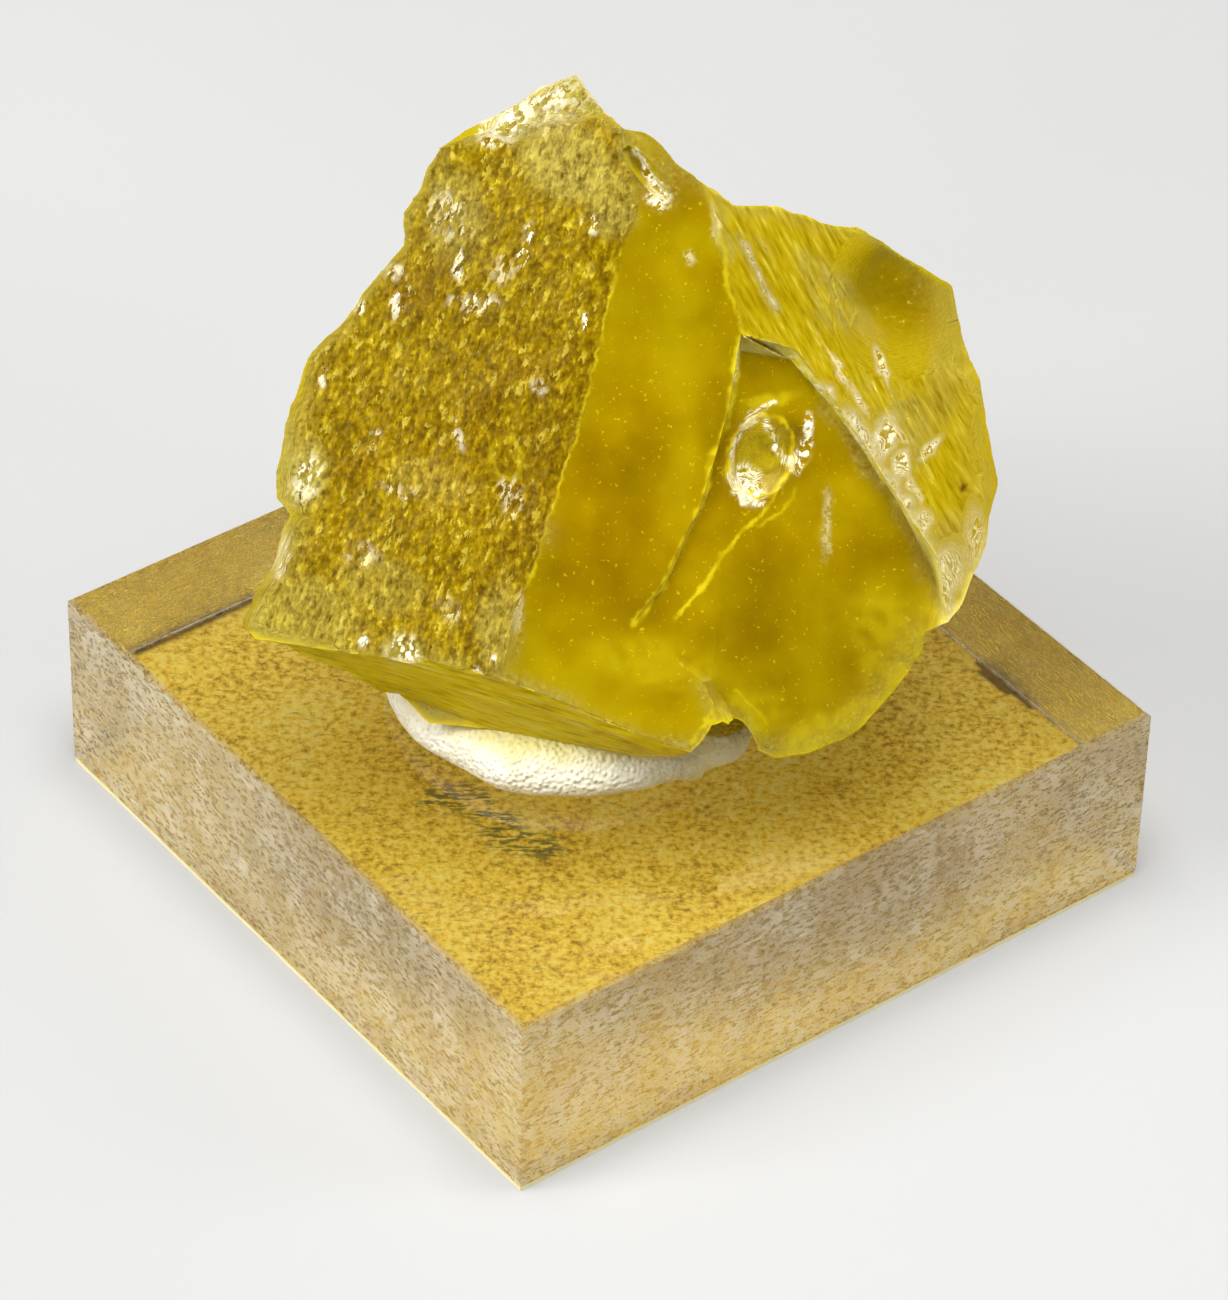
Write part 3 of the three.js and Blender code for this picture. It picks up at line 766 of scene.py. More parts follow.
@dataclass(frozen=True)
class CastAcrylic(Finish):
    """Cast acrylic, polished on top and sawn at the sides: water-clear from above and frosty at the cuts."""

    name: str = "cast acrylic, polished top and sawn sides"
    ior: float = 1.49
    tint: str = "#FFFDF2"
    dusty: str = "#F3ECD6"  # saw dust in the cuts
    golden: str = "#EBCB70"  # painted reflection of the paper, which shows more lower down the cuts
    polished: float = 0.015  # roughness
    sawn: float = 0.27  # roughness
    scratch: float = 3.6  # scratches to the millimetre across the saw's run
    score: float = 0.04  # mm, depth of the scratches
    sides: Stops = ((0.80, 1.0), (0.95, 0.0))  # by how far a face looks up
    upright: Stops = ((0.3, 1.0), (0.7, 0.25), (0.95, 0.0))  # as sides, but less at the rubbed arrises
    flecks: Stops = ((0.34, 0.10), (0.52, 0.28), (0.66, 0.68))
    patches: Stops = ((0.35, 0.45), (0.65, 1.0))
    glints: Stops = ((0.36, "#C4BAA4"), (0.50, "#F2EEE4"), (0.62, "#FFFFFF"))

    def inputs(self, tree: Tree) -> dict:
        """Adds the nodes."""
        place = specimen_space(tree)
        up = facing_up(tree)
        side = ramp(tree, up, self.sides)
        drawn = add(tree, "Mapping", {"Vector": place, "Scale": (0.42, 0.42, 1.0)}).outputs[0]
        haze = pattern(tree, drawn, self.scratch, 2.0, 0.8)
        height = add(tree, "SeparateXYZ", {0: place}).outputs["Z"]
        # Saw dust and scratches scatter white, most of all in the upper half; lower down the painted reflection of
        # the paper takes over.
        upper = add(tree, "MapRange", {0: height, 1: -BLOCK_TOP, 2: 0.0, 3: 0.45, 4: 1.0}).outputs[0]
        dust = times(tree, ramp(tree, haze, self.flecks), upper)
        patches = ramp(tree, pattern(tree, place, 0.3, 1.0), self.patches)
        milky = times(tree, dust, times(tree, ramp(tree, up, self.upright), patches))
        dust_and_paper_reflection = mixed(tree, upper, self.golden, self.dusty)
        dust_and_paper_reflection = mixed(tree, 1.0, dust_and_paper_reflection, ramp(tree, haze, self.glints), "MULTIPLY")
        fine = pattern(tree, drawn, 3.2 * self.scratch, 0.0)
        return {
            "Base Color": mixed(tree, side, self.tint, dust_and_paper_reflection),
            "Roughness": scaled(tree, side, scaled(tree, haze, 0.2, self.sawn - 0.1), self.polished),
            "IOR": self.ior,
            "Transmission Weight": worked(tree, "SUBTRACT", 1.0, milky),
            "Normal": bump(tree, 1.0, self.score, times(tree, fine, side)),
        }


@dataclass(frozen=True)
class KraftPaper(Finish):
    """Kraft masking paper, unbleached and glued under the acrylic: mottled golden brown with dark fibres."""

    name: str = "kraft masking paper, glued"
    pulp: Stops = ((0.30, "#B48A2A"), (0.42, "#E8C444"), (0.54, "#FFE25C"), (0.68, "#FFF290"))
    cut: str = "#EFE6BE"  # the cut edge is painted paler, a painted highlight from the light of the floor
    fibre: str = "#6A4612"
    stain: str = "#565E40"
    fibres: Stops = ((0.60, 0.0), (0.72, 0.45))
    blots: Stops = ((0.47, 0.0), (0.55, 0.8))  # where the stain takes
    nap: float = 0.02  # mm

    def inputs(self, tree: Tree) -> dict:
        """Adds the nodes, which read where the paper is stained and where its glue is dark."""
        place = specimen_space(tree)
        mottle = pattern(tree, place, 2.2, 3.0, 0.7)
        both = scaled(tree, pattern(tree, place, 0.12, 2.0), 0.35, worked(tree, "SUBTRACT", mottle, 0.175))
        stretched = {"Vector": place, "Rotation": (0.0, 0.0, 0.35), "Scale": (1.0, 3.4, 1.0)}
        fibres = pattern(tree, add(tree, "Mapping", stretched).outputs[0], 1.2, 2.0)
        colour = mixed(tree, ramp(tree, fibres, self.fibres), ramp(tree, both, self.pulp), self.fibre)
        smudge, crease, _ = kept_values(tree, "stains")
        colour = mixed(tree, times(tree, smudge, ramp(tree, fibres, self.blots)), colour, self.stain)
        colour = mixed(tree, crease, colour, self.fibre)
        return {
            # The side faces get the painted highlight of the cut edge.
            "Base Color": mixed(tree, worked(tree, "ABSOLUTE", facing_up(tree)), self.cut, colour),
            "Roughness": 0.85,
            "IOR": 1.5,
            "Normal": bump(tree, 0.3, self.nap, pattern(tree, place, 6.0, 0.0)),
        }


@dataclass(frozen=True)
class PaintedFloor(Finish):
    """A studio sweep, painted matte: a pale grey with the faintest unevenness."""

    name: str = "studio sweep, matte paint"
    colours: Stops = ((0.4, "#ABABAA"), (0.6, "#B0B0AF"))

    def inputs(self, tree: Tree) -> dict:
        """Adds the nodes."""
        uneven = pattern(tree, add(tree, "TexCoord").outputs["Object"], 9.0, 1.0)
        return {"Base Color": ramp(tree, uneven, self.colours), "Roughness": 0.75}


# ---------------------------------------------------------------- the crystal


class Zone(Enum):
    """What the crystal keeps for each point of its skin, each from 0 to 1."""

    ETCHED = "etched"
    RIBBED = "ribbed"
    FOOT = "foot"
    PLATE = "plate"
    FROST = "frost"
    GLOW = "glow"
    THIN = "thin"
    SHADE = "shade"
    CLOUD = "cloud"

    @classmethod
    def layers(cls) -> dict[str, list["Zone"]]:
        """Returns the names that the zones are kept under, with three zones each."""
        zones = list(cls)
        return {f"zones_{i // 3 + 1}": zones[i : i + 3] for i in range(0, len(zones), 3)}


@dataclass(frozen=True)
class Spot:
    """An oval mark on the front: centre (across, height), half sizes and turn, in mm and degrees."""

    across: float
    height: float
    wide: float
    tall: float
    turn: float = 0.0
    strength: float = 1.0

    def share(self, places: Array) -> Array:
        """Returns how strongly each flat place is in the mark, 1 in the middle and 0 past its rim."""
        cosine, sine = math.cos(math.radians(self.turn)), math.sin(math.radians(self.turn))
        offset = places - (self.across, self.height)
        u = (offset[:, 0] * cosine + offset[:, 1] * sine) / self.wide
        v = (-offset[:, 0] * sine + offset[:, 1] * cosine) / self.tall
        return self.strength * smoothstep(1.25, 0.55, np.hypot(u, v))


@dataclass(frozen=True)
class Streak:
    """A thin line on the front, through (across, height) corners, with its width in mm."""

    path: Line
    width: float
    strength: float = 1.0

    def share(self, places: Array) -> Array:
        """Returns how strongly each flat place is in the line."""
        gap, _ = distance_to(list(self.path), places)
        return self.strength * smoothstep(self.width, self.width * 0.3, gap)


Marks = list[Spot | Streak]


def greatest(marks: Marks, places: Array) -> Array:
    """Returns the share of the strongest mark at each flat place."""
    return np.max([mark.share(places) for mark in marks], axis=0)


@dataclass
class Layout:
    """What each point of the crystal's skin is."""

    zones: dict[Zone, Array]
    front: Array  # share of the faces at the front
    growth: Array  # share of the striated face, where no mark breaks it


@dataclass
class Crystal:
    """The fluorite: one solid with an etched, two cleaved and one striated face at the front."""

    source: bpy.types.Object
    finish: NaturalFluorite = field(default_factory=NaturalFluorite)
    fine_edge: float = 0.28  # longest triangle edge on the front, mm
    mark_edge: float = 0.2  # where marks are
    plain_edge: float = 0.7  # everywhere else
    crease_angle: float = 34.0  # degrees
    sharp_angle: float = 38.0  # degrees
    far: float = 60.0  # mm, well past the crystal

    # The front's faces all lie within a few millimetres of one leaning plane.
    front: Array = field(default_factory=lambda: unit((0.0, -0.79, 0.61)))
    front_depth: float = 18.5  # mm
    front_reach: float = 4.5  # mm
    front_back: float = 9.0  # mm, the furthest back that they get
    # Heights of what is cut into the skin, mm.
    scale_height: float = 0.42
    ripple_height: float = 0.05
    rib_height: float = 0.07
    fibre_height: float = 0.12
    swell_height: float = 0.012
    break_height: float = 0.11
    hewn_height: float = 0.42
    chip_height: float = 0.05
    levelled: float = 0.94  # share of the solid's own ribs that is taken off the growth face

    ribbed_facing: tuple[float, float, float] = (0.3, -0.75, 0.58)
    ribbed_point: tuple[float, float, float] = (7.8, -1.8, 27.5)

    # Where the front's faces meet, as (across, height).
    etched_edge: Path = field(
        default_factory=lambda: [
            (-6.4, 9.3), (-5.0, 14.0), (-4.1, 16.2), (-2.75, 20.3), (-1.9, 22.5), (-0.8, 26.9), (0.3, 31.5),
            (1.4, 34.2), (0.2, 37.9), (-1.0, 38.6),
        ]
    )
    step: Path = field(
        default_factory=lambda: [
            (8.0, 27.3), (7.35, 26.1), (7.25, 23.8), (6.65, 21.7), (5.95, 20.8), (5.75, 18.95), (4.8, 17.0),
            (3.3, 14.2), (1.65, 12.25),
        ]
    )
    ribbed_crease: Path = field(default_factory=lambda: [(5.1, 35.3), (6.25, 32.4), (7.2, 29.8), (8.0, 27.3)])
    ledge: Path = field(
        default_factory=lambda: [
            (8.0, 27.3), (9.3, 26.6), (11.1, 25.6), (12.9, 23.9), (13.8, 22.3), (14.7, 21.9), (15.6, 20.4),
            (16.3, 18.9), (17.3, 18.3), (18.2, 17.3), (19.4, 15.1), (20.4, 13.5), (21.0, 12.1), (21.2, 11.2),
        ]
    )
    foot_line: Path = field(
        default_factory=lambda: [
            (-22.4, 8.7), (-18.5, 8.7), (-15.1, 9.1), (-11.1, 9.4), (-6.4, 9.3), (-2.0, 7.8), (2.3, 6.4),
            (5.5, 5.6),
        ]
    )
    brow_foot: Path = field(
        default_factory=lambda: [
            (-9.5, 35.2), (-8.15, 36.0), (-6.9, 35.8), (-5.6, 36.0), (-4.95, 36.35), (-4.7, 37.0), (-3.9, 37.3),
            (-2.7, 37.5), (-0.95, 38.1),
        ]
    )
    second_crack: Path = field(
        default_factory=lambda: [(10.6, 18.4), (9.45, 17.2), (8.4, 16.6), (7.0, 15.2), (5.7, 13.7), (4.3, 12.4)]
    )

    def frosts_and_glints(self) -> Marks:
        """Returns the bruises, flakes and fresh breaks, which look nearly white, with painted glints on them."""
        brow = [
            Streak(((-8.2, 35.9), (-6.5, 36.9), (-4.9, 37.8), (-3.6, 38.4)), 0.75, 0.9),
            Spot(-6.9, 36.4, 1.5, 0.7, 30.0), Spot(-3.9, 38.4, 3.0, 1.4, 30.0, 0.55),
            Streak(((-2.5, 39.5), (-2.0, 39.1), (-1.3, 38.4)), 0.3, 0.8),
        ]
        etched = [
            Spot(-1.5, 32.8, 0.6, 0.5, 0.0, 0.8), Spot(-5.6, 31.0, 0.4, 1.3, -20.0, 0.8),
            Spot(-10.3, 31.6, 1.5, 1.3, 0.0, 0.5), Spot(-9.7, 29.8, 0.4, 1.3, 0.0, 0.7),
            Spot(-8.6, 27.7, 1.7, 0.5, 10.0, 0.6), Spot(-13.3, 26.9, 0.5, 0.9, -25.0, 0.9),
            Spot(-13.7, 28.2, 0.8, 0.6, 0.0, 0.5), Spot(-7.0, 29.6, 0.9, 0.7, 0.0, 0.4), Spot(-15.9, 26.4, 0.5, 0.5),
            Spot(-12.4, 9.6, 1.3, 0.9, 15.0), Spot(-6.9, 10.1, 0.3, 0.4), Streak(((-1.9, 28.3), (-1.6, 27.2)), 0.16),
            Spot(-15.1, 9.7, 0.3, 0.4), Spot(-18.0, 22.4, 0.2, 0.6), Spot(-7.8, 9.5, 0.4, 0.3, -35.0),
            Spot(-18.8, 17.2, 0.9, 1.5, -30.0, 0.8), Spot(-20.2, 13.2, 0.6, 1.5, -10.0, 0.6),
            Spot(-6.0, 18.4, 0.8, 1.1, 0.0, 0.45), Spot(-13.0, 17.6, 1.3, 0.4, 0.0, 0.4),
            Spot(-9.4, 21.0, 0.3, 0.9, 20.0, 0.5), Spot(-14.6, 19.8, 0.3, 0.8, 0.0, 0.5),
            Spot(-4.4, 24.2, 0.5, 0.5, 0.0, 0.4), Spot(-15.2, 14.0, 1.2, 0.7, 0.0, 0.4),
            Spot(-9.6, 12.2, 0.9, 0.6, 0.0, 0.35), Spot(-5.4, 12.6, 0.4, 1.2, -10.0, 0.4),
        ]
        smooth = [
            Streak(((1.1, 36.6), (1.9, 35.3), (2.6, 34.4)), 0.34), Spot(2.5, 34.5, 0.85, 0.7, 0.0, 0.9),
            Spot(6.1, 33.4, 0.3, 1.5, 8.0, 0.35), Spot(4.5, 31.4, 0.45, 0.4, 0.0, 0.4),
            Streak(((10.1, 22.9), (8.5, 22.4), (7.6, 21.0), (7.5, 19.3), (8.2, 18.0), (9.6, 17.8)), 0.22, 0.85),
            Spot(8.5, 18.7, 1.25, 0.75, -35.0), Spot(8.6, 22.0, 0.8, 0.35, 20.0, 0.9),
            Streak(((9.6, 21.9), (10.1, 20.7), (10.7, 19.5), (11.6, 19.3)), 0.3),
            Streak(((12.3, 21.9), (12.3, 20.6), (11.6, 19.3)), 0.42), Spot(13.6, 16.2, 0.3, 1.8, 3.0, 0.34),
        ]
        return brow + etched + smooth

    def chips(self) -> Marks:
        """Returns the bruised places along the ledge and beyond it, broken crystal with painted glints on it."""
        return [
            Streak(tuple(self.ledge[1:5]), 0.5, 0.4), Streak(tuple(self.ledge[4:]), 0.9, 0.6),
            Streak(tuple(self.ledge[5:9]), 1.2, 0.7), Spot(15.4, 21.4, 1.2, 0.5, -35.0, 0.7),
            Spot(17.9, 21.0, 0.9, 0.25, -50.0, 0.8), Spot(14.0, 24.6, 0.2, 1.4, 33.0, 0.6),
            Spot(15.4, 23.0, 0.2, 1.2, 33.0, 0.6), Spot(18.9, 18.0, 0.2, 1.0, 33.0, 0.7),
            Spot(13.0, 23.6, 0.8, 0.7, 0.0, 0.8), Spot(13.9, 22.3, 0.8, 0.6), Spot(15.6, 20.4, 0.7, 0.8, 0.0, 0.9),
            Spot(16.9, 20.8, 0.9, 1.3, -20.0, 0.75), Spot(18.1, 19.4, 0.6, 0.8, 0.0, 0.8),
            Streak(((17.3, 18.5), (18.4, 17.4), (20.4, 13.7), (21.2, 11.6)), 0.4, 0.6),
            Spot(19.4, 16.2, 0.7, 0.9, 0.0, 0.6), Spot(21.2, 13.6, 1.3, 1.4, 0.0, 0.55),
            Spot(19.9, 19.9, 0.9, 0.3, 35.0, 0.7), Spot(16.5, 24.2, 0.25, 1.2, 30.0, 0.7),
            Spot(23.0, 14.5, 0.8, 2.2, 10.0, 0.4), Streak(((7.9, 31.9), (9.3, 29.3), (9.9, 28.6)), 0.26, 0.5),
        ]

    def pales(self) -> Marks:
        """Returns the broad places that look paler: cloudier and thinner crystal, and painted highlights and light
        shining through.
        """
        return [
            Spot(-3.2, 35.6, 3.2, 1.9, 0.0, 0.6), Spot(-0.3, 34.2, 1.6, 2.0, 20.0, 0.5),
            Spot(-18.4, 10.8, 3.6, 1.7, -5.0, 0.4), Spot(-14.0, 12.7, 3.0, 1.6, 0.0, 0.3),
            Spot(-6.5, 11.6, 1.6, 2.6, 0.0, 0.4), Spot(-11.0, 18.4, 3.0, 1.2, 0.0, 0.2),
            Spot(-10.0, 31.8, 2.2, 2.4, 0.0, 0.35), Spot(-20.6, 16.5, 0.9, 4.5, -4.0, 0.9),
            Spot(-19.0, 17.4, 1.5, 2.0, -30.0, 0.8), Spot(-12.4, 9.6, 1.5, 1.1, 15.0, 0.7),
            Streak(tuple(self.ledge[4:]), 1.3, 0.7), Spot(17.4, 20.3, 2.4, 2.6, -30.0, 0.4),
            Spot(21.2, 13.9, 2.2, 2.6, 0.0, 0.5), Streak(((6.1, 35.0), (6.3, 33.2), (7.0, 31.4)), 0.6, 0.5),
            Streak(((7.6, 32.2), (9.3, 29.3), (10.0, 28.4)), 0.45, 0.6), Spot(9.4, 20.2, 2.3, 2.3, 0.0, 0.1),
            Streak(((13.6, 17.8), (13.5, 14.6)), 0.5, 0.6), Spot(21.3, 24.5, 1.6, 4.5, -20.0, 0.4),
        ]

    @staticmethod
    def ring(across: float, height: float, radius: float) -> Line:
        """Returns a closed round line about a point on the front, in mm."""
        corners = 16
        turns = [math.tau * i / corners for i in range(corners + 1)]
        return tuple((across + radius * math.cos(t), height + radius * math.sin(t)) for t in turns)

    def glows(self) -> Marks:
        """Returns the lines of light caught in cracks and at steps."""
        return [
            Streak(tuple((a + 0.22, h) for a, h in self.step[:6]), 0.42, 0.9),
            Streak(tuple((a + 0.18, h) for a, h in self.step[5:]), 0.3, 0.7),
            Streak(tuple((a - 0.15, h - 0.1) for a, h in self.ledge[:6]), 0.5, 0.6),
            Streak(self.ring(-6.3, 20.3, 1.0), 0.24, 0.3), Spot(9.3, 20.2, 1.9, 1.9, 0.0, 0.4),
            Streak(((21.0, 10.6), (19.2, 7.6), (16.6, 5.4), (12.5, 4.6)), 1.6, 0.4),
            Streak(self.ring(9.3, 20.2, 2.1), 0.2, 0.8), Spot(17.6, 9.0, 2.2, 4.0, 25.0, 0.3),
            Spot(3.0, 10.2, 4.5, 1.3, -10.0, 0.2), Streak(tuple(self.second_crack), 0.16, 0.9),
            Streak(((11.6, 18.2), (10.8, 17.3), (9.2, 16.6)), 0.14, 0.6), Streak(((6.7, 7.9), (7.6, 6.4)), 0.16, 0.8),
            Streak(((8.2, 8.2), (10.4, 5.8)), 0.14, 0.5), Streak(((6.3, 33.0), (7.1, 29.9), (8.0, 27.3)), 0.2, 0.6),
            Streak(tuple(self.etched_edge[1:7]), 0.12, 0.5),
            Streak(((5.6, 6.2), (6.3, 7.3), (7.3, 7.3), (8.6, 5.6)), 0.22, 0.8), Spot(9.8, 23.1, 1.9, 0.4, 0.0, 0.5),
            Spot(8.7, 6.5, 3.0, 1.6, 0.0, 0.25),
        ]

    def shades(self) -> Marks:
        """Returns the places where the crystal is darker and browner: deeper colour in places, and painted shade in
        the pit, under the ledge and in the hollow at the upper right.
        """
        return [
            Spot(2.0, 17.0, 3.5, 5.0, 0.0, 0.18), Spot(9.0, 12.0, 4.5, 2.5, 30.0, 0.08),
            Spot(10.3, 19.9, 2.6, 2.2, 0.0, 0.3), Spot(-8.0, 22.0, 6.0, 4.0, 0.0, 0.16),
            Spot(-4.4, 18.0, 3.0, 9.0, -14.0, 0.2), Spot(-8.5, 29.0, 5.0, 4.0, 0.0, 0.1),
            Spot(16.9, 28.4, 3.2, 2.0, -30.0, 0.35), Spot(1.2, 35.6, 0.4, 0.8, 35.0, 0.35),
            Spot(-19.8, 12.2, 0.16, 0.16), Spot(22.0, 17.6, 0.16, 0.3), Spot(6.6, 23.0, 1.4, 2.5, 0.0, 0.2),
        ]

    def build(self) -> bpy.types.Object:
        """Returns the crystal as an object that rides with the block."""
        skin = Skin.of_node(self.source, to_specimen)
        skin.refine(self.allowed_edge)
        skin.relax(math.radians(self.crease_angle), 14, 3)
        layout = self.layout(skin)
        self.carve(skin, layout)
        piece = skin.as_object("fluorite_crystal", to_world, math.radians(self.sharp_angle))
        for name, three in Zone.layers().items():
            keep_values(piece, name, [layout.zones[zone] for zone in three])
        piece.data.materials.append(self.finish.make())
        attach(piece, "root")
        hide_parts("fluorite")
        LOG.info("%s: %d triangles", piece.name, len(skin.triangles))
        return piece

    def allowed_edge(self, points: Array) -> Array:
        """Returns the longest edge allowed at each point: short at the front, and shortest in its marks."""
        places = points[:, [0, 2]]
        depth = np.abs(points @ self.front - self.front_depth)
        ahead = (depth < self.front_reach) & (points[:, 1] < self.front_back)
        limit = np.where(ahead, self.fine_edge, self.plain_edge)
        clear = [mark for mark in [*self.frosts_and_glints(), *self.chips(), *self.glows()] if mark.strength > 0.45]
        return np.where(ahead & (greatest(clear, places) > 0.05), self.mark_edge, limit)

    def layout(self, skin: Skin) -> Layout:
        """Returns what each point of the relaxed skin is."""
        places = skin.points[:, [0, 2]]
        front = smoothstep(0.55, 0.8, skin.spread(skin.normals() @ self.front, 2))
        far = self.far
        left = inside_loop([*self.etched_edge, (-1.0, far), (-far, far), (-far, -far), (-6.4, -far)], places)
        right = inside_loop([*self.ribbed_crease, *self.ledge[1:], (far, 11.0), (far, far), (5.1, far)], places)
        below = inside_loop([*self.foot_line, (5.5, -far), (-far, -far), (-far, 8.7)], places)
        # The foot is the undercut strip at the lower left.
        normals = skin.normals()
        under = smoothstep(0.25, -0.05, normals[:, 2]) * smoothstep(0.0, -0.35, normals[:, 1])
        foot = np.clip(under + below * (1.0 - front), 0.0, 1.0)
        foot *= (skin.points[:, 2] < 10.0) * (skin.points[:, 0] < 7.0)
        # Edges along the outline are thin and get a paler colour, partly painted light; those of the ledge and the
        # step are not.
        edge = np.zeros(len(places))
        edge[np.unique(skin.creases(math.radians(self.crease_angle)))] = 1.0
        inner = np.minimum(distance_to(self.ledge, places)[0], distance_to(self.step, places)[0])
        outline = edge * (skin.spread(1.0 - front, 6) > 0.15) * (inner > 2.2)
        thin = np.clip(skin.spread(outline, 26) * 3.2, 0.0, 1.0)
        peak = inside_loop([*self.brow_foot, (4.0, far), (-9.5, far)], places) * front
        shell = Spot(17.6, 27.4, 4.0, 3.0, -40.0).share(places)
        noise = GradientNoise(Seed.MARKS)
        # Marks wander and fade in and out, as broken edges do.
        sway = np.stack([noise.fractal(skin.points / 0.9 + shift, 2) for shift in (0.0, 37.0)], 1)
        marked = places + 0.2 * sway
        broken = smoothstep(-0.5, 0.25, noise.at(skin.points / 0.8))
        # Marks are only where they can be seen from the front, and the chips only above the ledge.
        ahead = smoothstep(12.5, 14.0, skin.points @ self.front)
        seen = np.maximum(smoothstep(-0.35, 0.0, normals @ self.front), ahead)
        band = Streak(tuple(self.ledge[1:]), 1.4).share(marked)
        # Painted light: the walls behind the front and the shelf under the ledge are brightened with glow and white.
        wall = ahead * (1.0 - front) * (1.0 - foot)
        shelf = wall * smoothstep(2.8, 2.0, distance_to(self.ledge, places)[0])
        upper = np.maximum(skin.spread(right * 1.0, 1), wall)
        bruised_and_glinting = greatest(self.chips(), marked) * upper
        # Behind the notch the thin roof of the hollow is lit through from above.
        roof = Spot(7.2, -11.0, 2.4, 2.4).share(skin.points[:, :2]) * smoothstep(0.1, -0.2, normals[:, 2])
        roof *= smoothstep(4.0, 4.8, skin.points[:, 2]) * (skin.points[:, 2] < 9.0)
        growth = right * (1.0 - left) * ahead * (1.0 - 0.75 * shell) * (1.0 - band)
        pit = Spot(9.4, 20.2, 2.0, 2.0).share(marked)
        etched = skin.spread(front * left * (1.0 - 0.75 * peak), 1)
        etched = etched + (1.0 - front) * (1.0 - foot) * 0.45 + 0.35 * np.maximum(band * upper * ahead, pit)
        ribbed = skin.spread(np.maximum(front, ahead) * right * (1.0 - left), 1)
        ribbed = ribbed * (1.0 - 0.75 * shell) * (1.0 - np.clip(1.5 * bruised_and_glinting, 0.0, 1.0))
        frost = seen * greatest(self.frosts_and_glints(), marked)
        glow = seen * (0.35 + 0.65 * broken) * greatest(self.glows(), marked)
        pale = (1.0 - shelf) * seen * greatest(self.pales(), marked)
        zones = {
            Zone.ETCHED: np.clip(etched, 0.0, 1.0),
            Zone.RIBBED: ribbed,
            Zone.FOOT: foot,
            Zone.FROST: np.max([frost, seen * bruised_and_glinting, 0.5 * shelf], axis=0),
            Zone.GLOW: np.max([glow, 0.35 * wall, 0.8 * shelf, 0.8 * roof], axis=0),
            Zone.SHADE: front * greatest(self.shades(), places),
            Zone.THIN: np.max([thin * front, skin.spread(peak, 2) * 0.95, pale], axis=0),
        }
        return Layout(zones, front, growth)

    def carve(self, skin: Skin, layout: Layout) -> None:
        """Cuts the relief of each face into the skin, and adds each small plate's number to the zones."""
        zones = layout.zones
        points, out = skin.points, skin.normals()
        relief, plates = GradientNoise(Seed.RELIEF), GradientNoise(Seed.PLATES)
        stretch = np.array([0.55, 0.55, 1.0])
        height, number = plates.scales(points @ ETCHED_GRAIN.T / stretch, 0.25)
        ripple = self.ripple_height * relief.fractal(points @ ETCHED_GRAIN.T / (1.1, 1.1, 2.2), 3)
        ribs = relief.fractal(points @ RIBBED_GRAIN.T / (0.75, 0.75, 9.0), 3, 0.6)
        fibres = relief.fractal(points @ FOOT_GRAIN.T / (0.6, 0.6, 7.0), 3, 0.6)
        gentle = relief.fractal(points / 3.0, 2)
        broken, _ = GradientNoise(Seed.BREAKS).scales(points / 0.5, 0.5)
        hewn, _ = GradientNoise(Seed.HEWN).scales(points / (2.4, 2.4, 3.4), 0.3)
        rest = np.clip(1.0 - layout.front - zones[Zone.FOOT], 0.0, 1.0)
        lift = zones[Zone.ETCHED] * layout.front * (self.scale_height * height * stretch[0] + ripple)
        lift += (
            zones[Zone.RIBBED] * self.rib_height * ribs
            + zones[Zone.FOOT] * self.fibre_height * fibres
            + self.swell_height * gentle
        )
        lift += zones[Zone.FROST] * self.break_height * broken
        lift += rest * (self.hewn_height * hewn + self.ripple_height * relief.fractal(points / 1.1, 3))
        zones[Zone.PLATE] = number
        zones[Zone.CLOUD] = 0.5 + 0.4 * relief.fractal(points / 6.0, 4)
        # The growth face is flat but for its lines: the solid's own ribs are only as coarse as its facets.
        facing = unit(self.ribbed_facing)
        above = (points - self.ribbed_point) @ facing
        level = self.levelled * above * smoothstep(1.3, 1.0, np.abs(above)) * layout.growth
        chips = zones[Zone.THIN] * (1.0 - zones[Zone.FOOT]) * self.chip_height
        chips = chips * relief.fractal(points / 0.55 + 9.0, 2)
        seated = points[:, 2] < SEAT_HEIGHT + CONTACT
        lift = np.where(seated, 0.0, lift + chips)
        skin.points = points + out * lift[:, None] - facing * np.where(seated, 0.0, level)[:, None]
        skin.points[:, 2] = np.maximum(skin.points[:, 2], SEAT_HEIGHT)
        self.trim(skin)

    def trim(self, skin: Skin) -> None:
        """Keeps the skin inside the box of the solid that it stands for."""
        low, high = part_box(self.source.name)
        world = np.clip(to_world(skin.points), np.array(low), np.array(high))
        skin.points = to_specimen(world)


# ---------------------------------------------------------------- putty, block and paper


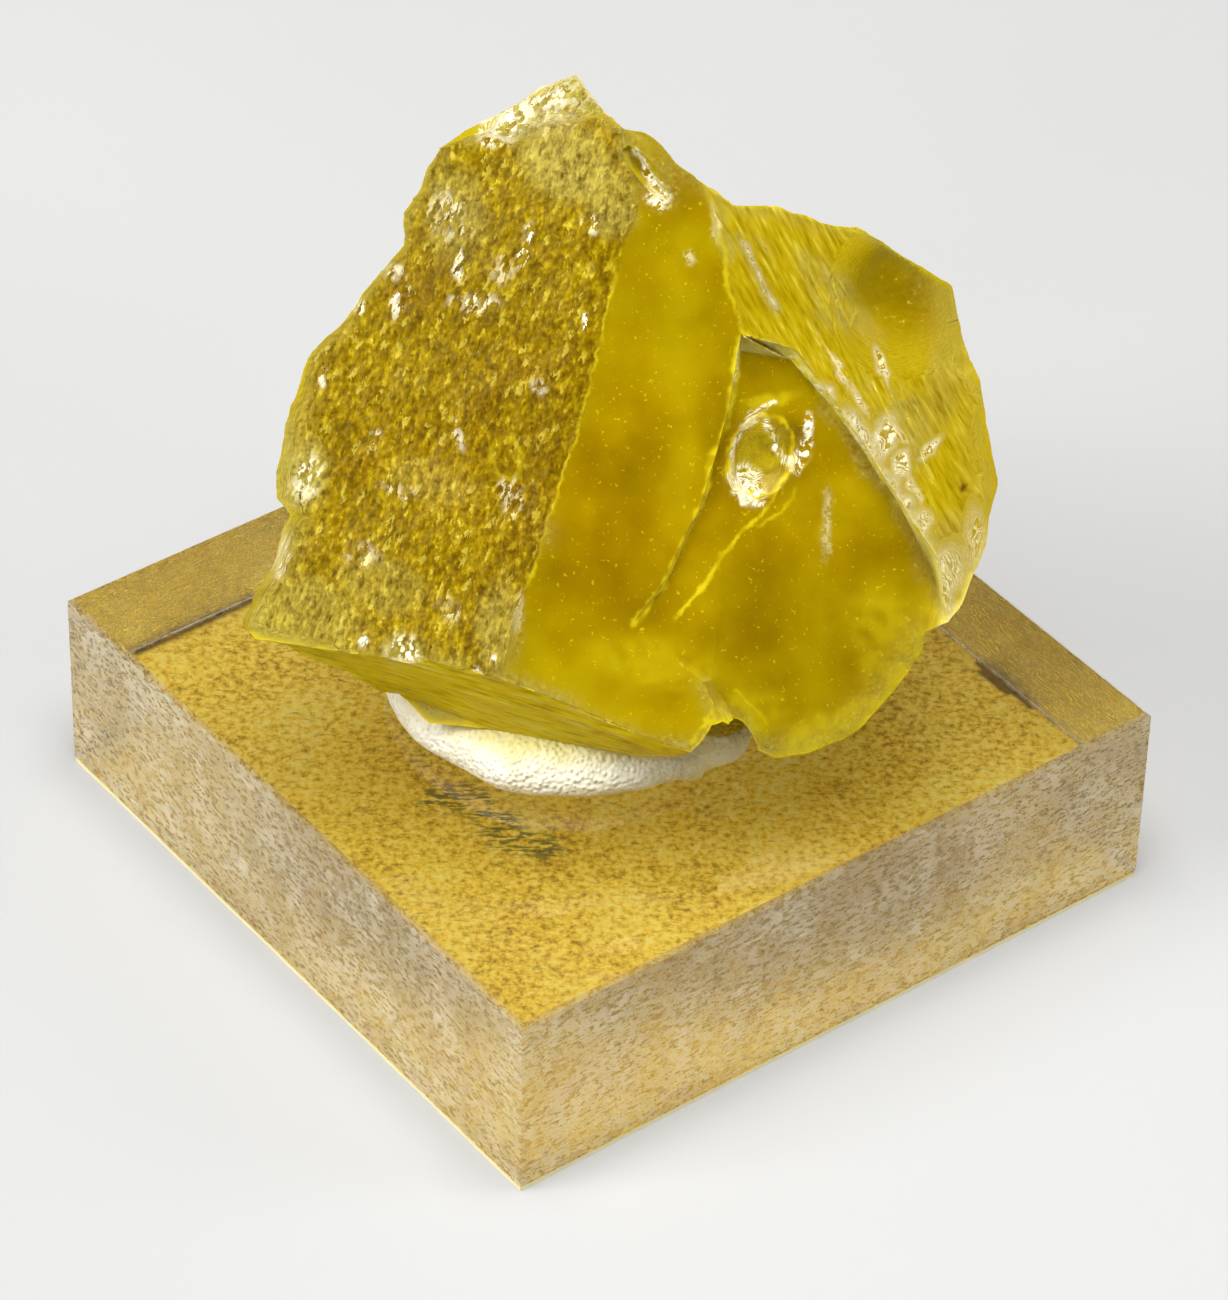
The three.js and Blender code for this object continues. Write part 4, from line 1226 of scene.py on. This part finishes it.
@dataclass
class PuttyWad:
    """The wad that holds the crystal, with its rolled rim and the pinch at the front."""

    source: bpy.types.Object
    finish: PressedPutty = field(default_factory=PressedPutty)
    edge: float = 0.42  # longest triangle edge, mm
    middle: tuple[float, float] = (3.0, -4.5)  # across and back of the wad's middle
    pinch: tuple[float, float] = (6.6, -12.0)  # across and back of the pinched fold
    folds: float = 17.0  # how much faster the folds' wave turns than the wad does
    crease: float = 0.16  # mm, height of the creases
    swell: float = 0.10  # mm, height of the slow swelling
    pillow: float = 0.045  # mm, height of the skin's bumps
    level: float = 0.02  # mm, how near to a flat end a point belongs to it
    crease_angle: float = 60.0  # degrees

    def build(self) -> bpy.types.Object:
        """Returns the putty as an object that rides with the block."""
        skin = Skin.of_node(self.source, to_specimen)
        skin.refine(lambda points: np.full(len(points), self.edge))
        crease_angle = math.radians(self.crease_angle)
        skin.relax(crease_angle, 12, 4)
        points, out = skin.points, skin.normals()
        noise = GradientNoise(Seed.PUTTY)
        side = smoothstep(self.level, 0.4, points[:, 2]) * smoothstep(SEAT_HEIGHT, SEAT_HEIGHT - 0.25, points[:, 2])
        beyond = np.hypot(points[:, 0] - self.pinch[0], points[:, 1] - self.pinch[1])
        near = smoothstep(4.2, 0.8, beyond)
        angle = np.arctan2(points[:, 1] - self.middle[1], points[:, 0] - self.middle[0])
        folds = np.abs(np.sin(angle * self.folds + 1.2 * noise.at(points / 1.6))) ** 0.6 - 0.65
        lift = side * (self.swell * noise.fractal(points / 3.5, 2) + self.pillow * noise.at(points / 0.42))
        lift += side * near * self.crease * folds
        skin.points = points + out * lift[:, None]
        low = skin.points[:, 2] < self.level
        skin.points[low, 2] = -CONTACT
        high = skin.points[:, 2] > SEAT_HEIGHT - self.level
        skin.points[high, 2] = SEAT_HEIGHT + CONTACT
        piece = skin.as_object("mounting_putty", to_world, crease_angle)
        # Painted light: towards its top, under the crystal, the wad takes the yellow of light that comes through the
        # crystal.
        under = 0.75 * smoothstep(1.9, 3.6, points[:, 2] + 0.35 * noise.at(points / 1.1))
        # Painted shade: the pinched lobe behind the notch is darkened and yellowed.
        lobe_shade = 0.3 * near * (points[:, 0] > 5.5)
        keep_values(piece, "putty_shade_and_light", [lobe_shade, under * (1.0 - 0.7 * near)])
        piece.data.materials.append(self.finish.make())
        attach(piece, "root")
        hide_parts("putty")
        LOG.info("%s: %d triangles", piece.name, len(skin.triangles))
        return piece


@dataclass
class AcrylicBlock:
    """The clear block, with sides left from the saw and arrises rubbed down by hand."""

    source: bpy.types.Object
    finish: CastAcrylic = field(default_factory=CastAcrylic)
    edge: float = 1.6  # longest triangle edge, mm
    wave: float = 0.012  # how far the saw wandered, mm
    rub: float = 0.3  # mm, more than the rubbed arrises are wide
    sharp_angle: float = 20.0  # degrees

    def build(self) -> bpy.types.Object:
        """Returns the block as an object that rides with the frame."""
        skin = Skin.of_node(self.source, lambda metres: metres / MM)
        skin.refine(lambda points: np.full(len(points), self.edge))
        points = skin.points
        noise = GradientNoise(Seed.SAW)
        low, high = points.min(0), points.max(0)
        for axis in (0, 1):
            for limit, inward in ((low[axis], 1.0), (high[axis], -1.0)):
                at_side = np.abs(points[:, axis] - limit) < self.rub
                wander = self.wave * (1.0 + 0.45 * noise.fractal(points / (7.0, 7.0, 5.0), 2))
                points[at_side, axis] += inward * wander[at_side]
        piece = skin.as_object("acrylic_block", lambda millimetres: millimetres * MM, math.radians(self.sharp_angle))
        piece.data.materials.append(self.finish.make())
        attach(piece, "root")
        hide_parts("acrylic_base")
        LOG.info("%s: %d triangles", piece.name, len(skin.triangles))
        return piece


@dataclass
class BackingPaper:
    """The masking paper that is still glued to the underside of the block."""

    source: bpy.types.Object
    finish: KraftPaper = field(default_factory=KraftPaper)
    edge: float = 1.6  # longest triangle edge, mm
    stain_edge: float = 0.3
    inset: float = 0.08  # the cut edge stands this far in from the acrylic, mm
    smudge: Line = ((-12.4, 1.2), (-10.6, 0.4), (-10.2, -2.2), (-11.0, -4.0), (-9.6, -6.4))
    smudge_width: float = 2.0  # mm
    glued_from: float = 0.2  # mm above the floor, where the glued face begins
    # Dark glue along the edges.
    glue: tuple[Line, ...] = (
        ((24.75, -8.6), (24.75, -14.0)),
        ((24.3, -9.4), (24.4, -12.0)),
        ((-20.0, 24.7), (-10.5, 24.7)),
    )
    sharp_angle: float = 40.0  # degrees

    def allowed_edge(self, points: Array) -> Array:
        """Returns the longest edge allowed at each point: shortest at the stains."""
        gaps = [distance_to(list(line), points[:, :2])[0] for line in (self.smudge, *self.glue)]
        return np.where(np.min(gaps, axis=0) < self.smudge_width, self.stain_edge, self.edge)

    def build(self) -> bpy.types.Object:
        """Returns the paper as an object that rides with the frame."""
        skin = Skin.of_node(self.source, lambda metres: metres / MM)
        skin.refine(self.allowed_edge)
        points = skin.points
        noise = GradientNoise(Seed.TORN)
        half = points[:, :2].max()
        torn = self.inset * (1.0 + 0.3 * noise.fractal(points / 1.7, 2))
        points[:, :2] = np.clip(points[:, :2], -half + torn[:, None], half - torn[:, None])
        points[:, 2] += np.where(points[:, 2] > self.glued_from, CONTACT, 0.0)
        piece = skin.as_object("kraft_backing", lambda millimetres: millimetres * MM, math.radians(self.sharp_angle))
        gap, _ = distance_to(list(self.smudge), points[:, :2])
        stained = smoothstep(self.smudge_width, self.smudge_width * 0.3, gap)
        glued = np.min([distance_to(list(line), points[:, :2])[0] for line in self.glue], axis=0)
        keep_values(piece, "stains", [stained, 0.85 * smoothstep(0.4, 0.15, glued)])
        piece.data.materials.append(self.finish.make())
        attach(piece, "root")
        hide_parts("paper_backing")
        LOG.info("%s: %d triangles", piece.name, len(skin.triangles))
        return piece


# ---------------------------------------------------------------- studio


@dataclass(frozen=True)
class Softbox:
    """A soft white square lamp aimed at the specimen: where it stands, its size in metres, and its power."""

    name: str
    place: tuple[float, float, float]
    size: float
    watts: float
    aim: ClassVar[Vector] = Vector((0.0, 0.0, 0.03))

    def build(self) -> None:
        """Puts the lamp in the scene."""
        lamp = bpy.data.lights.new(self.name, "AREA")
        lamp.shape = "SQUARE"
        lamp.size = self.size
        lamp.energy = self.watts
        stand = bpy.data.objects.new(self.name, lamp)
        stand.location = self.place
        stand.rotation_euler = (self.aim - Vector(self.place)).to_track_quat("-Z", "Y").to_euler()
        bpy.context.scene.collection.objects.link(stand)


@dataclass
class Studio:
    """A pale floor, soft lamps and the camera."""

    azimuth: float = -38.0055  # degrees
    elevation: float = 39.7991
    roll: float = 1.571
    distance: float = 417.9  # mm from the aim
    aim: tuple[float, float, float] = (11.149, 13.332, 0.0)  # mm
    lens: float = 169.73  # mm, for a 36 mm long side
    floor_size: float = 3.0  # metres
    sky: float = 0.5
    sky_colour: str = "#858587"
    lamps: tuple[Softbox, ...] = (
        Softbox("overhead softbox", (-0.1, -0.15, 1.25), 0.8, 24.0),
        Softbox("left softbox", (-1.0, 0.25, 0.75), 0.6, 12.0),
        Softbox("right softbox", (0.9, -0.75, 0.6), 0.6, 4.5),
    )

    def build(self) -> None:
        """Sets up the camera, the floor and the light."""
        self.build_camera()
        self.build_floor()
        self.build_sky()
        for lamp in self.lamps:
            lamp.build()

    def build_camera(self) -> None:
        """Stands the camera at its place, looking at the specimen."""
        a, e, r = (math.radians(v) for v in (self.azimuth, self.elevation, self.roll))
        back = Vector((math.sin(a) * math.cos(e), -math.cos(a) * math.cos(e), math.sin(e)))
        level = Vector((math.cos(a), math.sin(a), 0.0))
        upright = back.cross(level)
        right = math.cos(r) * level + math.sin(r) * upright
        up = math.cos(r) * upright - math.sin(r) * level
        data = bpy.data.cameras.new("camera")
        data.lens = self.lens
        data.sensor_width = 36.0
        data.clip_start = 0.02
        data.clip_end = 20.0
        camera = bpy.data.objects.new("camera", data)
        turn = Matrix((right, up, back)).transposed().to_4x4()
        place = Vector(self.aim) * MM + back * self.distance * MM
        camera.matrix_world = Matrix.Translation(place) @ turn
        bpy.context.scene.collection.objects.link(camera)
        bpy.context.scene.camera = camera

    def build_floor(self) -> None:
        """Lays the floor, which isn't part of the specimen."""
        half = self.floor_size / 2.0
        mesh = bpy.data.meshes.new("floor")
        corners = [(-half, -half, 0.0), (half, -half, 0.0), (half, half, 0.0), (-half, half, 0.0)]
        mesh.from_pydata(corners, [], [(0, 1, 2, 3)])
        floor = bpy.data.objects.new("floor", mesh)
        floor.data.materials.append(PaintedFloor().make())
        bpy.context.scene.collection.objects.link(floor)

    def build_sky(self) -> None:
        """Gives even soft light from all round."""
        world = bpy.data.worlds.new("studio")
        world.use_nodes = True
        tree = world.node_tree
        tree.nodes.clear()
        background = add(tree, "Background", {"Color": self.sky_colour, "Strength": self.sky})
        add(tree, "OutputWorld", {"Surface": background.outputs[0]})
        bpy.context.scene.world = world


def main() -> None:
    """Builds the specimen and its studio."""
    logging.basicConfig(level=logging.INFO, format="%(name)s: %(message)s")
    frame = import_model()
    nodes = frame["nodes"]
    bpy.context.scene.view_settings.view_transform = "Standard"
    Studio().build()
    BackingPaper(nodes["paper_backing"]).build()
    AcrylicBlock(nodes["acrylic_base"]).build()
    PuttyWad(nodes["putty"]).build()
    Crystal(nodes["fluorite"]).build()


if __name__ == "__main__":
    main()
